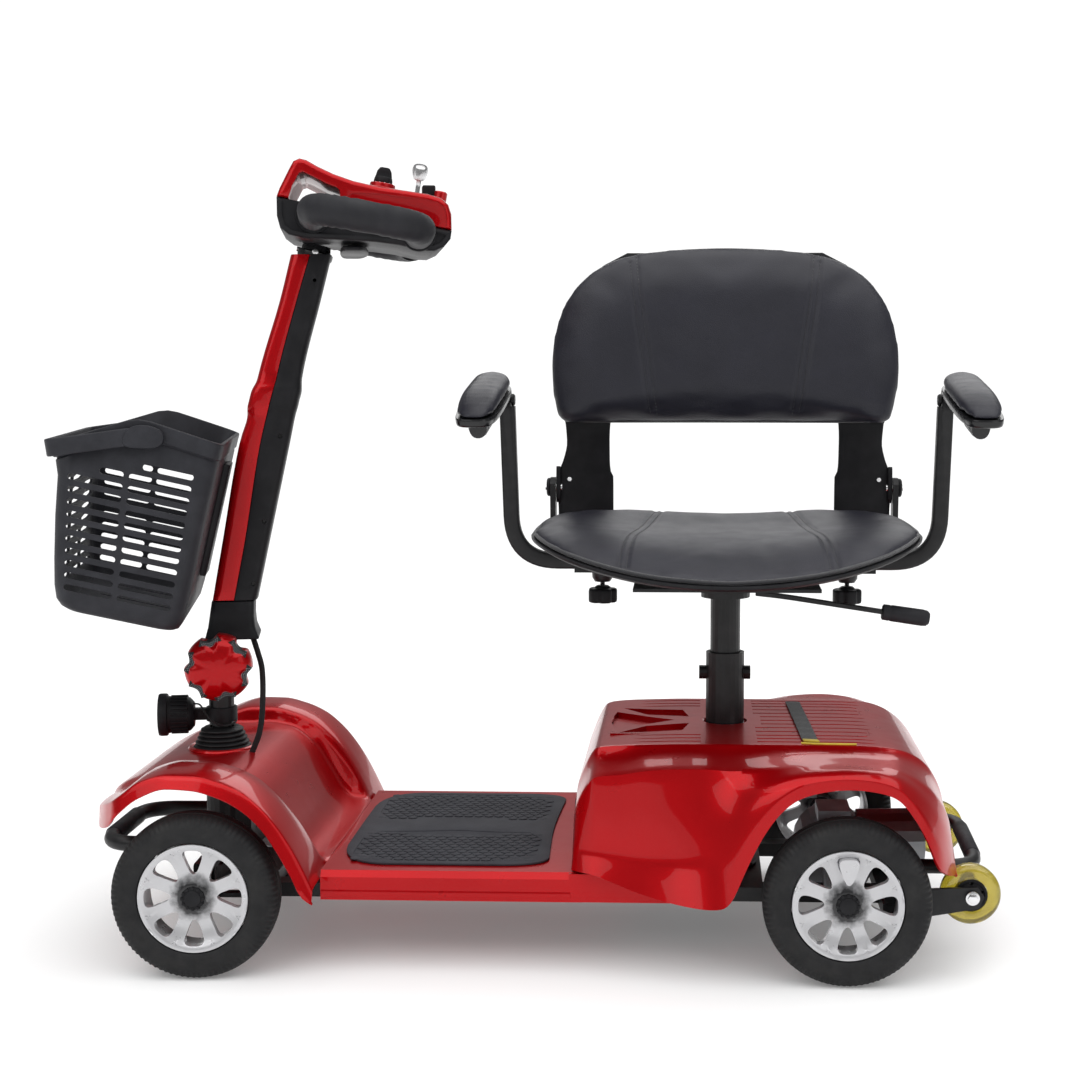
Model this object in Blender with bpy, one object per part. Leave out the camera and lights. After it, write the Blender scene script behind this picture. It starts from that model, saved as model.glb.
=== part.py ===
import math

import bmesh
import bpy
import numpy as np

# Four-wheel mobility scooter. Metres, +Z up, front towards -X, rider's left side towards -Y.
# Shapes are given with the seat-post axis at x = 0, y = 0 and the floor at z = 0.
# The whole scooter hangs on one root empty that moves it to the middle of its own footprint.
ROOT_SHIFT = (0.2592, -0.0160, 0.0)

WHEEL_R = 0.095
RIM_R = 0.0627
WHEEL_W = 0.047
WHEEL_Y = 0.2165
REAR_X = 0.1342
FRONT_X = -0.6046
STEER_X = -0.627
TILLER_TURN = math.radians(11.0)
WHEEL_TURN = math.radians(2.0)
KINGPIN_Y = 0.155
FOLD_X = -0.625
FOLD_Z = 0.329
LEAN = math.radians(13.4)
DECK_Z = 0.1165
DECK_HALF = 0.195
SHELL_T = 0.003
GAP = 0.0004
FRAME_TOP = 0.0770
POST_R = 0.0183
SEAT_HALF = 0.24
ARM_X = 0.275
ARM_Y = 0.08
ARM_Z = 0.444
PIVOT_BACK_Y = 0.190
PIVOT_BACK_Z = 0.530


def clear_scene():
    for obj in list(bpy.data.objects):
        bpy.data.objects.remove(obj, do_unlink=True)


clear_scene()


def material(name, color, rough, metal=0.0):
    mat = bpy.data.materials.new(name)
    mat.use_nodes = True
    bsdf = mat.node_tree.nodes["Principled BSDF"]
    bsdf.inputs["Base Color"].default_value = (*color, 1.0)
    bsdf.inputs["Roughness"].default_value = rough
    bsdf.inputs["Metallic"].default_value = metal
    mat.diffuse_color = (*color, 1.0)
    return mat


RED = material("red_paint", (0.50, 0.012, 0.018), 0.18)
BLACK = material("black_plastic", (0.022, 0.022, 0.024), 0.5)
FRAME = material("black_steel", (0.014, 0.014, 0.015), 0.4)
LEATHER = material("charcoal_leather", (0.035, 0.036, 0.045), 0.5)
RUBBER = material("tyre_rubber", (0.012, 0.012, 0.012), 0.8)
SILVER = material("silver_alloy", (0.66, 0.66, 0.68), 0.3, 0.9)
STEEL = material("bright_steel", (0.6, 0.6, 0.6), 0.25, 1.0)
AMBER = material("amber_urethane", (0.45, 0.36, 0.03), 0.2)
MAT = material("mat_rubber", (0.045, 0.047, 0.055), 0.8)
FOAM = material("grip_foam", (0.02, 0.02, 0.023), 0.85)
GREY = material("grey_alloy", (0.35, 0.36, 0.38), 0.45, 0.8)
LENS = material("lamp_lens", (0.8, 0.82, 0.85), 0.05)
WEB = material("nylon_webbing", (0.02, 0.02, 0.022), 0.9)


# ---------------------------------------------------------------- bodies
PIVOTS = {}
EMPTIES = {}


def body(name, pivot, parent=None, turn=0.0):
    """An empty on the joint axis. Shapes of the body are given in the frame of its parent."""
    empty = bpy.data.objects.new(name, None)
    bpy.context.scene.collection.objects.link(empty)
    base = PIVOTS[parent] if parent else (0.0, 0.0, 0.0)
    empty.location = tuple(p - b for p, b in zip(pivot, base))
    empty.rotation_euler = (0.0, 0.0, turn)
    if parent:
        empty.parent = EMPTIES[parent]
    PIVOTS[name] = pivot
    EMPTIES[name] = empty


root = bpy.data.objects.new("scooter", None)
bpy.context.scene.collection.objects.link(root)
root.location = ROOT_SHIFT
PIVOTS["scooter"] = (0.0, 0.0, 0.0)
EMPTIES["scooter"] = root

body("steer_column_body", (STEER_X, 0.0, 0.0), "scooter", TILLER_TURN)
body("tiller_body", (FOLD_X, 0.0, FOLD_Z), "steer_column_body")


# ---------------------------------------------------------------- shapes
def frame_of(direction):
    """Two unit vectors across a direction."""
    d = np.asarray(direction, float)
    d = d / np.linalg.norm(d)
    hint = np.array([0.0, 0.0, 1.0]) if abs(d[2]) < 0.9 else np.array([1.0, 0.0, 0.0])
    side = np.cross(hint, d)
    side = side / np.linalg.norm(side)
    return side, np.cross(d, side)


def sweep(path, profile, up=None):
    """Carries a closed 2-D profile (across, up) along a polyline, with capped ends."""
    path = [np.asarray(p, float) for p in path]
    tangents = []
    for i in range(len(path)):
        a = path[max(i - 1, 0)]
        b = path[min(i + 1, len(path) - 1)]
        tangents.append((b - a) / np.linalg.norm(b - a))
    if up is None:
        side, top = frame_of(tangents[0])
    else:
        side = np.cross(tangents[0], np.asarray(up, float))
        side = side / np.linalg.norm(side)
        top = np.cross(side, tangents[0])
    verts = []
    for i, point in enumerate(path):
        t = tangents[i]
        side = side - t * np.dot(side, t)
        side = side / np.linalg.norm(side)
        top = np.cross(side, t)
        stretch = 1.0
        if 0 < i < len(path) - 1:
            before = path[i] - path[i - 1]
            before = before / np.linalg.norm(before)
            stretch = 1.0 / max(np.dot(before, t), 0.5)
        bend = path[min(i + 1, len(path) - 1)] - 2 * point + path[max(i - 1, 0)]
        bend = bend if 0 < i < len(path) - 1 else np.zeros(3)
        size = np.linalg.norm(bend)
        for a, b in profile:
            off = side * a + top * b
            if size > 1e-9:
                n = bend / size
                n = n - t * np.dot(n, t)
                n = n / max(np.linalg.norm(n), 1e-9)
                off = off + n * np.dot(off, n) * (stretch - 1.0)
            verts.append(tuple(point + off))
    n = len(profile)
    faces = []
    for i in range(len(path) - 1):
        for j in range(n):
            k = (j + 1) % n
            faces.append((i * n + j, i * n + k, (i + 1) * n + k, (i + 1) * n + j))
    faces.append(tuple(reversed(range(n))))
    faces.append(tuple(range((len(path) - 1) * n, len(path) * n)))
    return verts, faces


def circle(r, seg=12, start=0.0):
    angles = [start + 2 * math.pi * i / seg for i in range(seg)]
    return [(r * math.cos(a), r * math.sin(a)) for a in angles]


def tube(path, r, seg=8):
    return sweep(path, circle(r, seg))


def rod(a, b, r, seg=12):
    return sweep([a, b], circle(r, seg))


def rounded(points, radius, steps=3):
    """The same polyline with its inner corners turned into arcs."""
    pts = [np.asarray(p, float) for p in points]
    out = [tuple(pts[0])]
    for i in range(1, len(pts) - 1):
        a = pts[i - 1] - pts[i]
        b = pts[i + 1] - pts[i]
        la, lb = np.linalg.norm(a), np.linalg.norm(b)
        cut = min(radius, 0.48 * la, 0.48 * lb)
        p, q = pts[i] + a / la * cut, pts[i] + b / lb * cut
        for s in range(steps + 1):
            t = s / steps
            out.append(tuple((1 - t) ** 2 * p + 2 * t * (1 - t) * pts[i] + t * t * q))
    out.append(tuple(pts[-1]))
    return out


def box(x0, x1, y0, y1, z0, z1):
    verts = [(x, y, z) for z in (z0, z1) for y in (y0, y1) for x in (x0, x1)]
    faces = [(0, 2, 3, 1), (4, 5, 7, 6), (0, 1, 5, 4), (1, 3, 7, 5), (3, 2, 6, 7), (2, 0, 4, 6)]
    return verts, faces


def loft(sections):
    """Closed solid through rings of the same number of points."""
    n = len(sections[0])
    verts = [tuple(p) for ring in sections for p in ring]
    faces = []
    for i in range(len(sections) - 1):
        for j in range(n):
            k = (j + 1) % n
            faces.append((i * n + j, i * n + k, (i + 1) * n + k, (i + 1) * n + j))
    faces.append(tuple(reversed(range(n))))
    faces.append(tuple(range((len(sections) - 1) * n, len(sections) * n)))
    return verts, faces


def prism_y(outline, y0, y1, inset=0.0):
    """Extrudes an outline of (x, z) along Y. An inset bevels both ends."""
    if not inset:
        return loft([[(x, y, z) for x, z in outline] for y in (y0, y1)])
    cx = sum(p[0] for p in outline) / len(outline)
    cz = sum(p[1] for p in outline) / len(outline)
    small = []
    for x, z in outline:
        d = math.hypot(x - cx, z - cz)
        k = max(0.0, 1 - inset / d)
        small.append((cx + (x - cx) * k, cz + (z - cz) * k))
    rows = ((small, y0), (outline, y0 + inset), (outline, y1 - inset), (small, y1))
    return loft([[(x, y, z) for x, z in ring] for ring, y in rows])


def revolve(profile, centre, axis, seg=20, closed=True):
    """Turns (radius, height) points about an axis. An open profile starts and ends on it."""
    side, top = frame_of(axis)
    d = np.asarray(axis, float) / np.linalg.norm(axis)
    c = np.asarray(centre, float)
    rings = []
    verts = []
    for r, h in profile:
        if r < 1e-7:
            rings.append([len(verts)] * seg)
            verts.append(tuple(c + d * h))
            continue
        rings.append(list(range(len(verts), len(verts) + seg)))
        for i in range(seg):
            a = 2 * math.pi * i / seg
            verts.append(tuple(c + d * h + (side * math.cos(a) + top * math.sin(a)) * r))
    faces = []
    count = len(profile) if closed else len(profile) - 1
    for i in range(count):
        low, high = rings[i], rings[(i + 1) % len(profile)]
        for j in range(seg):
            k = (j + 1) % seg
            ring = []
            for v in (low[j], low[k], high[k], high[j]):
                if v not in ring:
                    ring.append(v)
            if len(ring) > 2:
                faces.append(tuple(ring))
    return verts, faces


def skin(grid, thickness):
    """A sheet with thickness from a grid of points. The sheet grows to its inner side."""
    rows, cols = len(grid), len(grid[0])
    p = np.array(grid, float)
    du = np.zeros_like(p)
    dv = np.zeros_like(p)
    du[1:-1] = p[2:] - p[:-2]
    du[0] = p[1] - p[0]
    du[-1] = p[-1] - p[-2]
    dv[:, 1:-1] = p[:, 2:] - p[:, :-2]
    dv[:, 0] = p[:, 1] - p[:, 0]
    dv[:, -1] = p[:, -1] - p[:, -2]
    normal = np.cross(du, dv)
    normal /= np.linalg.norm(normal, axis=2, keepdims=True) + 1e-12
    inner = p - normal * thickness
    verts = [tuple(v) for v in p.reshape(-1, 3)] + [tuple(v) for v in inner.reshape(-1, 3)]
    off = rows * cols
    faces = []
    for i in range(rows - 1):
        for j in range(cols - 1):
            a, b = i * cols + j, i * cols + j + 1
            c, d = (i + 1) * cols + j + 1, (i + 1) * cols + j
            faces.append((a, d, c, b))
            faces.append((a + off, b + off, c + off, d + off))
    edge = [j for j in range(cols)]
    edge += [i * cols + cols - 1 for i in range(1, rows)]
    edge += [(rows - 1) * cols + j for j in range(cols - 2, -1, -1)]
    edge += [i * cols for i in range(rows - 2, 0, -1)]
    for a, b in zip(edge, edge[1:] + edge[:1]):
        faces.append((a, b, b + off, a + off))
    return verts, faces


def moved(shape, offset):
    verts, faces = shape
    return [tuple(np.add(v, offset)) for v in verts], faces


def mirrored(shape):
    """The same shape on the other side of the scooter."""
    verts, faces = shape
    return [(x, -y, z) for x, y, z in verts], [tuple(reversed(f)) for f in faces]


def raw_object(name, shape):
    verts, faces = shape
    mesh = bpy.data.meshes.new(name)
    mesh.from_pydata([tuple(v) for v in verts], [], faces)
    work = bmesh.new()
    work.from_mesh(mesh)
    bmesh.ops.remove_doubles(work, verts=work.verts, dist=1e-6)
    bmesh.ops.recalc_face_normals(work, faces=work.faces)
    work.to_mesh(mesh)
    work.free()
    obj = bpy.data.objects.new(name, mesh)
    bpy.context.scene.collection.objects.link(obj)
    return obj


def solid(name, mat, where, shapes, cuts=()):
    """One closed body: the shapes united, the cuts taken away, its origin on its joint axis."""
    base = raw_object("work", shapes[0])
    helpers = []
    for operation, group in (("UNION", shapes[1:]), ("DIFFERENCE", cuts)):
        for shape in group:
            helper = raw_object("helper", shape)
            helpers.append(helper)
            modifier = base.modifiers.new("bool", "BOOLEAN")
            modifier.operation = operation
            modifier.solver = "EXACT"
            modifier.object = helper
    graph = bpy.context.evaluated_depsgraph_get()
    graph.update()
    mesh = bpy.data.meshes.new_from_object(base.evaluated_get(graph))
    for helper in helpers:
        bpy.data.objects.remove(helper, do_unlink=True)
    bpy.data.objects.remove(base, do_unlink=True)
    pivot = PIVOTS[where]
    work = bmesh.new()
    work.from_mesh(mesh)
    bmesh.ops.translate(work, verts=work.verts, vec=tuple(-p for p in pivot))
    bmesh.ops.dissolve_limit(
        work, angle_limit=math.radians(0.4), verts=work.verts, edges=work.edges
    )
    work.to_mesh(mesh)
    work.free()
    mesh.name = name
    mesh.materials.clear()
    mesh.materials.append(mat)
    obj = bpy.data.objects.new(name, mesh)
    bpy.context.scene.collection.objects.link(obj)
    obj.parent = EMPTIES[where]
    return obj


# ---------------------------------------------------------------- chassis
def kingpin_parts(side):
    y = side * KINGPIN_Y
    lug = box(FRONT_X - 0.0125, FRONT_X + 0.0125, min(0, y), max(0, y), 0.084, 0.108)
    boss = rod((FRONT_X, y, 0.080), (FRONT_X, y, 0.112), 0.0135)
    hole = rod((FRONT_X, y, 0.060), (FRONT_X, y, 0.130), 0.0079)
    return lug, boss, hole


def chassis():
    shapes = [box(-0.575, -0.545, -0.110, 0.110, 0.060, 0.0769)]
    for side in (-1, 1):
        low, high = sorted((side * 0.085, side * 0.110))
        shapes.append(box(-0.560, 0.205, low, high, 0.0601, FRAME_TOP))
    shapes.append(box(-0.300, -0.275, -0.100, 0.100, 0.0602, 0.0768))
    shapes.append(box(-0.150, -0.036, -0.100, 0.100, 0.0603, 0.0767))
    shapes.append(box(-0.040, 0.045, -0.105, 0.105, 0.0604, 0.0766))
    shapes.append(box(0.180, 0.204, -0.1675, 0.1675, 0.0605, 0.0765))
    shapes.append(box(-0.655, -0.556, -0.045, 0.045, 0.0606, 0.0771))
    shapes.append(rod((STEER_X, 0, 0.0607), (STEER_X, 0, 0.198), 0.021, 20))
    shapes.append(box(-0.627, -0.590, -0.012, 0.012, 0.0765, 0.150))
    cuts = [rod((STEER_X, 0, 0.03), (STEER_X, 0, 0.22), 0.0130, 20)]
    for side in (-1, 1):
        lug, boss, hole = kingpin_parts(side)
        shapes += [lug, boss]
        cuts.append(hole)
        low, high = sorted((side * 0.1610, side * 0.1665))
        arm = [(0.182, 0.061), (0.225, 0.061), (0.290, 0.072), (0.296, 0.085), (0.288, 0.097)]
        shapes.append(prism_y(arm + [(0.230, 0.094), (0.182, 0.090)], low, high))
        shapes.append(rod((0.282, side * 0.1640, 0.085), (0.282, side * 0.1370, 0.085), 0.0040, 12))
        shapes.append(rod((0.282, side * 0.1665, 0.085), (0.282, side * 0.1700, 0.085), 0.0070, 12))
    solid("chassis_frame", FRAME, "scooter", shapes, cuts)


chassis()


def curve(table, x):
    xs, zs = zip(*table)
    return float(np.interp(x, xs, zs))


COWL_X = (-0.743, -0.735, -0.72, -0.70, -0.685, -0.66, -0.628, -0.60, -0.572, -0.545, -0.52,
          -0.505, -0.49, -0.478, -0.466)
COWL_HALF = ((-0.743, 0.10), (-0.735, 0.150), (-0.72, 0.190), (-0.70, 0.226), (-0.685, 0.242))
COWL_MID = ((-0.743, 0.166), (-0.735, 0.182), (-0.72, 0.196), (-0.70, 0.207), (-0.685, 0.212),
            (-0.66, 0.216), (-0.628, 0.217), (-0.60, 0.2185), (-0.572, 0.214), (-0.545, 0.194),
            (-0.52, 0.156), (-0.505, 0.131), (-0.49, 0.119), (-0.478, 0.117), (-0.466, 0.1165))
COWL_FENDER = ((-0.743, 0.164), (-0.735, 0.178), (-0.72, 0.189), (-0.70, 0.200), (-0.685, 0.210),
               (-0.66, 0.228), (-0.628, 0.236), (-0.60, 0.2355), (-0.572, 0.229), (-0.545, 0.217),
               (-0.52, 0.196), (-0.505, 0.178), (-0.49, 0.155), (-0.478, 0.132), (-0.466, 0.106))
COWL_EDGE = ((-0.743, 0.155), (-0.735, 0.158), (-0.72, 0.163), (-0.70, 0.174), (-0.685, 0.190),
             (-0.66, 0.210), (-0.628, 0.221), (-0.60, 0.2195), (-0.572, 0.212), (-0.545, 0.198),
             (-0.52, 0.174), (-0.505, 0.151), (-0.49, 0.124), (-0.478, 0.099), (-0.466, 0.090))


def cowl_grid():
    rows = []
    for x in COWL_X:
        k = curve(COWL_HALF, x) / 0.242
        mid, top, edge = curve(COWL_MID, x), curve(COWL_FENDER, x), curve(COWL_EDGE, x)
        half = [(0.0, mid), (0.06, mid), (0.11, mid), (0.143, mid + 0.1 * (top - mid))]
        half += [(0.155, mid + 0.85 * (top - mid)), (0.185, top + 0.002), (0.220, top + 0.001)]
        half += [(0.236, top - 0.003), (0.242, top - 0.008), (0.242, edge)]
        row = [(x, -y * k, z) for y, z in reversed(half[1:])] + [(x, y * k, z) for y, z in half]
        rows.append(row)
    return rows


solid("front_cowl", RED, "scooter", [skin(cowl_grid(), SHELL_T)],
      [rod((STEER_X, 0, 0.19), (STEER_X, 0, 0.24), 0.031, 24)])


def footboard():
    half, z = DECK_HALF, DECK_Z
    outer = [(-half, 0.083), (-half, z - 0.007), (-half + 0.006, z), (half - 0.006, z)]
    outer += [(half, z - 0.007), (half, 0.083), (half - 0.003, 0.083), (half - 0.003, z - 0.008)]
    outer += [(half - 0.007, z - 0.003), (-half + 0.007, z - 0.003), (-half + 0.003, z - 0.008)]
    outer += [(-half + 0.003, 0.083)]
    shapes = [loft([[(x, y, w) for y, w in outer] for x in (-0.4655, -0.1650)])]
    for side in (-1, 1):
        low, high = sorted((side * (half - 0.008), side * half))
        shapes.append(box(-0.180, -0.060, low, high, 0.0832, z - 0.0005))
    solid("footboard", RED, "scooter", shapes)
    outline = [(-0.452, -0.168), (-0.205, -0.168), (-0.210, -0.08), (-0.212, 0.0), (-0.210, 0.08)]
    outline += [(-0.205, 0.168), (-0.452, 0.168)]
    mat = loft([[(x, y, w) for x, y in outline] for w in (z + GAP, z + 0.0034)])
    solid("floor_mat", MAT, "scooter", [mat])


footboard()

# x, plateau height, plateau half width, then four (y, z) points down the side.
SHROUD = (
    (-0.1765, 0.196, 0.118, (0.160, 0.182), (0.175, 0.152), (0.182, 0.135), (0.190, 0.1195)),
    (-0.1700, 0.214, 0.125, (0.172, 0.198), (0.184, 0.158), (0.188, 0.139), (0.197, 0.1195)),
    (-0.1600, 0.238, 0.132, (0.182, 0.216), (0.191, 0.163), (0.193, 0.140), (0.203, 0.1195)),
    (-0.1500, 0.251, 0.137, (0.189, 0.228), (0.196, 0.166), (0.197, 0.140), (0.207, 0.1180)),
    (-0.1200, 0.254, 0.140, (0.195, 0.232), (0.202, 0.168), (0.204, 0.138), (0.213, 0.1080)),
    (-0.0900, 0.255, 0.140, (0.198, 0.238), (0.205, 0.170), (0.207, 0.136), (0.218, 0.0980)),
    (-0.0500, 0.256, 0.140, (0.198, 0.240), (0.208, 0.172), (0.212, 0.132), (0.230, 0.0910)),
    (-0.0200, 0.256, 0.140, (0.198, 0.240), (0.214, 0.182), (0.222, 0.137), (0.239, 0.0890)),
    (0.0040, 0.256, 0.140, (0.200, 0.238), (0.225, 0.190), (0.238, 0.140), (0.242, 0.0930)),
    (0.0160, 0.256, 0.140, (0.200, 0.239), (0.231, 0.200), (0.240, 0.165), (0.242, 0.1260)),
    (0.0330, 0.256, 0.140, (0.202, 0.240), (0.236, 0.217), (0.242, 0.190), (0.242, 0.1630)),
    (0.0560, 0.256, 0.140, (0.204, 0.243), (0.236, 0.233), (0.242, 0.217), (0.242, 0.1990)),
    (0.0850, 0.256, 0.140, (0.205, 0.246), (0.234, 0.243), (0.242, 0.234), (0.242, 0.2200)),
    (0.1340, 0.256, 0.140, (0.205, 0.247), (0.232, 0.247), (0.242, 0.240), (0.242, 0.2280)),
    (0.1830, 0.254, 0.140, (0.204, 0.244), (0.230, 0.241), (0.242, 0.233), (0.242, 0.2210)),
    (0.2060, 0.248, 0.134, (0.200, 0.234), (0.226, 0.226), (0.240, 0.211), (0.241, 0.1950)),
    (0.2220, 0.239, 0.126, (0.195, 0.223), (0.220, 0.209), (0.236, 0.187), (0.239, 0.1670)),
    (0.2340, 0.228, 0.118, (0.188, 0.211), (0.213, 0.192), (0.229, 0.163), (0.234, 0.1390)),
    (0.2440, 0.213, 0.110, (0.178, 0.197), (0.203, 0.176), (0.214, 0.150), (0.221, 0.1280)),
    (0.2540, 0.190, 0.100, (0.163, 0.177), (0.184, 0.158), (0.193, 0.138), (0.199, 0.1200)),
    (0.2600, 0.160, 0.092, (0.150, 0.150), (0.168, 0.140), (0.176, 0.129), (0.182, 0.1160)),
)


def shroud_half(row):
    x, top, wide, a, b, c, d = row
    step = 0.5 * (top - a[1])
    return [(0.0, top), (0.6 * wide, top), (wide, top), (wide + 0.010, top - max(0.006, step))] + [
        a, b, c, d]


def shroud_grid():
    rows = []
    for row in SHROUD:
        half = shroud_half(row)
        rows.append([(row[0], -y, z) for y, z in reversed(half[1:])]
                    + [(row[0], y, z) for y, z in half])
    front = [(x - 0.0012, y, 0.1195) for x, y, z in rows[0]]
    back = [(x + 0.0030, y, 0.1150) for x, y, z in rows[-1]]
    return [front] + rows + [back]


solid("rear_shroud", RED, "scooter", [skin(shroud_grid(), SHELL_T)],
      [rod((0, 0, 0.20), (0, 0, 0.30), 0.0268, 24)])

solid("steering_boot", RUBBER, "scooter", [revolve(
    [(0.0140, 0.203), (0.0285, 0.203), (0.0285, 0.2200), (0.0360, 0.2200), (0.0365, 0.2235),
     (0.0335, 0.2250), (0.0350, 0.2290), (0.0315, 0.2310), (0.0330, 0.2350), (0.0295, 0.2370),
     (0.0305, 0.2410), (0.0265, 0.2430), (0.0140, 0.2440)], (STEER_X, 0, 0), (0, 0, 1), 16)])

solid("seat_post_socket", FRAME, "scooter",
      [revolve([(0.0188, 0.079), (0.0235, 0.079), (0.0235, 0.342), (0.0188, 0.342)],
               (0, 0, 0), (0, 0, 1), 24),
       revolve([(0.0212, 0.0774), (0.0400, 0.0774), (0.0400, 0.0820), (0.0212, 0.0820)],
               (0, 0, 0), (0, 0, 1), 24),
       rod((0.0215, 0, 0.316), (0.0310, 0, 0.316), 0.0085),
       rod((-0.0215, 0, 0.316), (-0.0320, 0, 0.316), 0.0085)])


def transaxle():
    y_end = 0.176
    shapes = [rod((REAR_X, -0.055, 0.095), (REAR_X, 0.055, 0.095), 0.046, 20)]
    shapes.append(rod((REAR_X, -y_end, 0.095), (REAR_X, y_end, 0.095), 0.0170, 16))
    shapes.append(rod((REAR_X + 0.03, 0.0, 0.112), (0.245, 0.0, 0.114), 0.033, 16))
    shapes.append(box(REAR_X - 0.020, REAR_X + 0.020, -0.030, 0.030, 0.10, 0.150))
    cuts = []
    for side in (-1, 1):
        cuts.append(rod((REAR_X, side * 0.060, 0.095), (REAR_X, side * 0.20, 0.095), 0.0098, 16))
        low, high = sorted((side * 0.080, side * 0.112))
        shapes.append(box(REAR_X - 0.018, REAR_X + 0.018, low, high, 0.0774, 0.100))
    solid("transaxle_motor", GREY, "scooter", shapes, cuts)


transaxle()
solid("battery_pack", BLACK, "scooter", [box(-0.158, -0.042, -0.130, 0.130, 0.0775, 0.232)])
solid("motor_controller", GREY, "scooter", [box(0.045, 0.110, -0.065, 0.065, 0.175, 0.215),
                                            box(0.055, 0.100, -0.080, 0.080, 0.178, 0.185)])


def bumper(name, points, r):
    solid(name, FRAME, "scooter", [tube(rounded(points, 0.045, 4), r, 12)])


bumper("front_bumper", [(-0.665, -0.088, 0.116), (-0.752, -0.086, 0.116), (-0.752, 0.086, 0.116),
                        (-0.665, 0.088, 0.116)], 0.0095)
bumper("rear_bumper", [(0.2045, -0.112, 0.106), (0.296, -0.112, 0.106), (0.302, 0.112, 0.106),
                       (0.2045, 0.112, 0.106)], 0.0085)
solid("battery_strap", WEB, "scooter",
      [loft([[(0.088, -0.118, w), (0.106, -0.122, w), (0.098, 0.108, w), (0.080, 0.110, w)]
             for w in (0.2565, 0.2595)])])


# ---------------------------------------------------------------- wheels
def tyre_profile():
    h, r = WHEEL_W / 2, WHEEL_R
    return [(RIM_R + 0.0006, -h + 0.004), (RIM_R + 0.006, -h), (r - 0.012, -h), (r - 0.002, -h + 0.009),
            (r, 0.0), (r - 0.002, h - 0.009), (r - 0.012, h), (RIM_R + 0.006, h),
            (RIM_R + 0.0006, h - 0.004)]


def wheel_shapes(side):
    """Rim ring, eight spokes and a hub about the origin. The open face looks away from the scooter."""
    out = side
    ring = revolve([(0.0520, -0.016), (RIM_R, -0.020), (RIM_R, 0.020), (0.0560, 0.020)],
                   (0, 0, 0), (0, out, 0), 24)
    hub = rod((0, -out * 0.019, 0), (0, out * 0.0185, 0), 0.0165, 16)
    cap = rod((0, out * 0.018, 0), (0, out * 0.0225, 0), 0.0135, 12)
    shapes = [hub, ring, cap]
    for i in range(8):
        a = math.pi / 8 + i * math.pi / 4
        c, s = math.cos(a), math.sin(a)
        near, far = sorted((out * 0.004, out * 0.0135))
        quad = [(0.010, -0.0055), (0.060, -0.0075), (0.060, 0.0075), (0.010, 0.0055)]
        ring_pts = [(u * c - w * s, u * s + w * c) for u, w in quad]
        shapes.append(loft([[(x, y, z) for x, z in ring_pts] for y in (near, far)]))
    return shapes


def road_wheel(prefix, side, x, parent, centre):
    name = prefix + "_wheel_body"
    body(name, centre, parent)
    at = np.array(centre)
    shapes = [moved(s, at) for s in wheel_shapes(side)]
    cuts = []
    y_in = at[1] - side * 0.0235
    if x < 0:
        cuts.append(rod((x, at[1] - side * 0.05, 0.095), (x, at[1] + side * 0.0175, 0.095), 0.0080))
    else:
        shapes.append(rod((x, side * 0.064, 0.095), (x, y_in + side * 0.008, 0.095), 0.0093))
    solid(prefix + "_rim", SILVER, name, shapes, cuts)
    tyre = revolve(tyre_profile(), at, (0, 1, 0), 28)
    solid(prefix + "_tyre", RUBBER, name, [tyre])


def knuckle(prefix, side):
    name = prefix + "_knuckle_body"
    y = side * KINGPIN_Y
    body(name, (FRONT_X, y, 0.0), "scooter", WHEEL_TURN)
    x = FRONT_X
    inner, outer = sorted((y - side * 0.012, side * 0.1790))
    plate = sorted((side * 0.1730, side * 0.1790))
    shapes = [box(x - 0.012, x + 0.012, inner, outer, 0.1126, 0.1186)]
    shapes.append(box(x - 0.0121, x + 0.0121, inner, outer, 0.0734, 0.0794))
    end = plate[1] + (0.0001 if side > 0 else 0.0)
    shapes.append(box(x - 0.0119, x + 0.0119, plate[0], end, 0.0735, 0.1185))
    shapes.append(rod((x, y, 0.0700), (x, y, 0.1230), 0.0075))
    shapes.append(rod((x, side * 0.176, 0.095), (x, side * 0.2325, 0.095), 0.0075))
    c, s = math.cos(-WHEEL_TURN), math.sin(-WHEEL_TURN)
    reach = 0.064
    tip = (x + reach * c, y + reach * s)
    n = (-s * 0.006, c * 0.006)
    quad = [(x, y), tip]
    arm = [(quad[0][0] - n[0], quad[0][1] - n[1]), (tip[0] - n[0], tip[1] - n[1]),
           (tip[0] + n[0], tip[1] + n[1]), (quad[0][0] + n[0], quad[0][1] + n[1])]
    shapes.append(loft([[(a, b, w) for a, b in arm] for w in (0.0737, 0.0791)]))
    shapes.append(rod((tip[0], tip[1], 0.0736), (tip[0], tip[1], 0.0792), 0.0125))
    cuts = [rod((tip[0], tip[1], 0.06), (tip[0], tip[1], 0.10), 0.0088)]
    solid(prefix + "_steering_knuckle", FRAME, name, shapes, cuts)
    road_wheel(prefix, side, x, name, (x, side * WHEEL_Y, WHEEL_R))


knuckle("front_left", -1)
knuckle("front_right", 1)
road_wheel("rear_left", -1, REAR_X, "scooter", (REAR_X, -WHEEL_Y, WHEEL_R))
road_wheel("rear_right", 1, REAR_X, "scooter", (REAR_X, WHEEL_Y, WHEEL_R))

for prefix, side in (("left", -1), ("right", 1)):
    name = prefix + "_anti_tip_body"
    centre = (0.282, side * 0.148, 0.085)
    body(name, centre, "scooter")
    solid(prefix + "_anti_tip_tyre", AMBER, name, [revolve(
        [(0.0190, -0.011), (0.0300, -0.011), (0.0350, -0.006), (0.0350, 0.006), (0.0300, 0.011),
         (0.0190, 0.011)], centre, (0, 1, 0), 28)])
    solid(prefix + "_anti_tip_hub", BLACK, name, [revolve(
        [(0.0044, -0.0115), (0.0110, -0.0115), (0.0110, -0.009), (0.0186, -0.009), (0.0186, 0.009),
         (0.0110, 0.009), (0.0110, 0.0115), (0.0044, 0.0115)], centre, (0, 1, 0), 20)])


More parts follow.
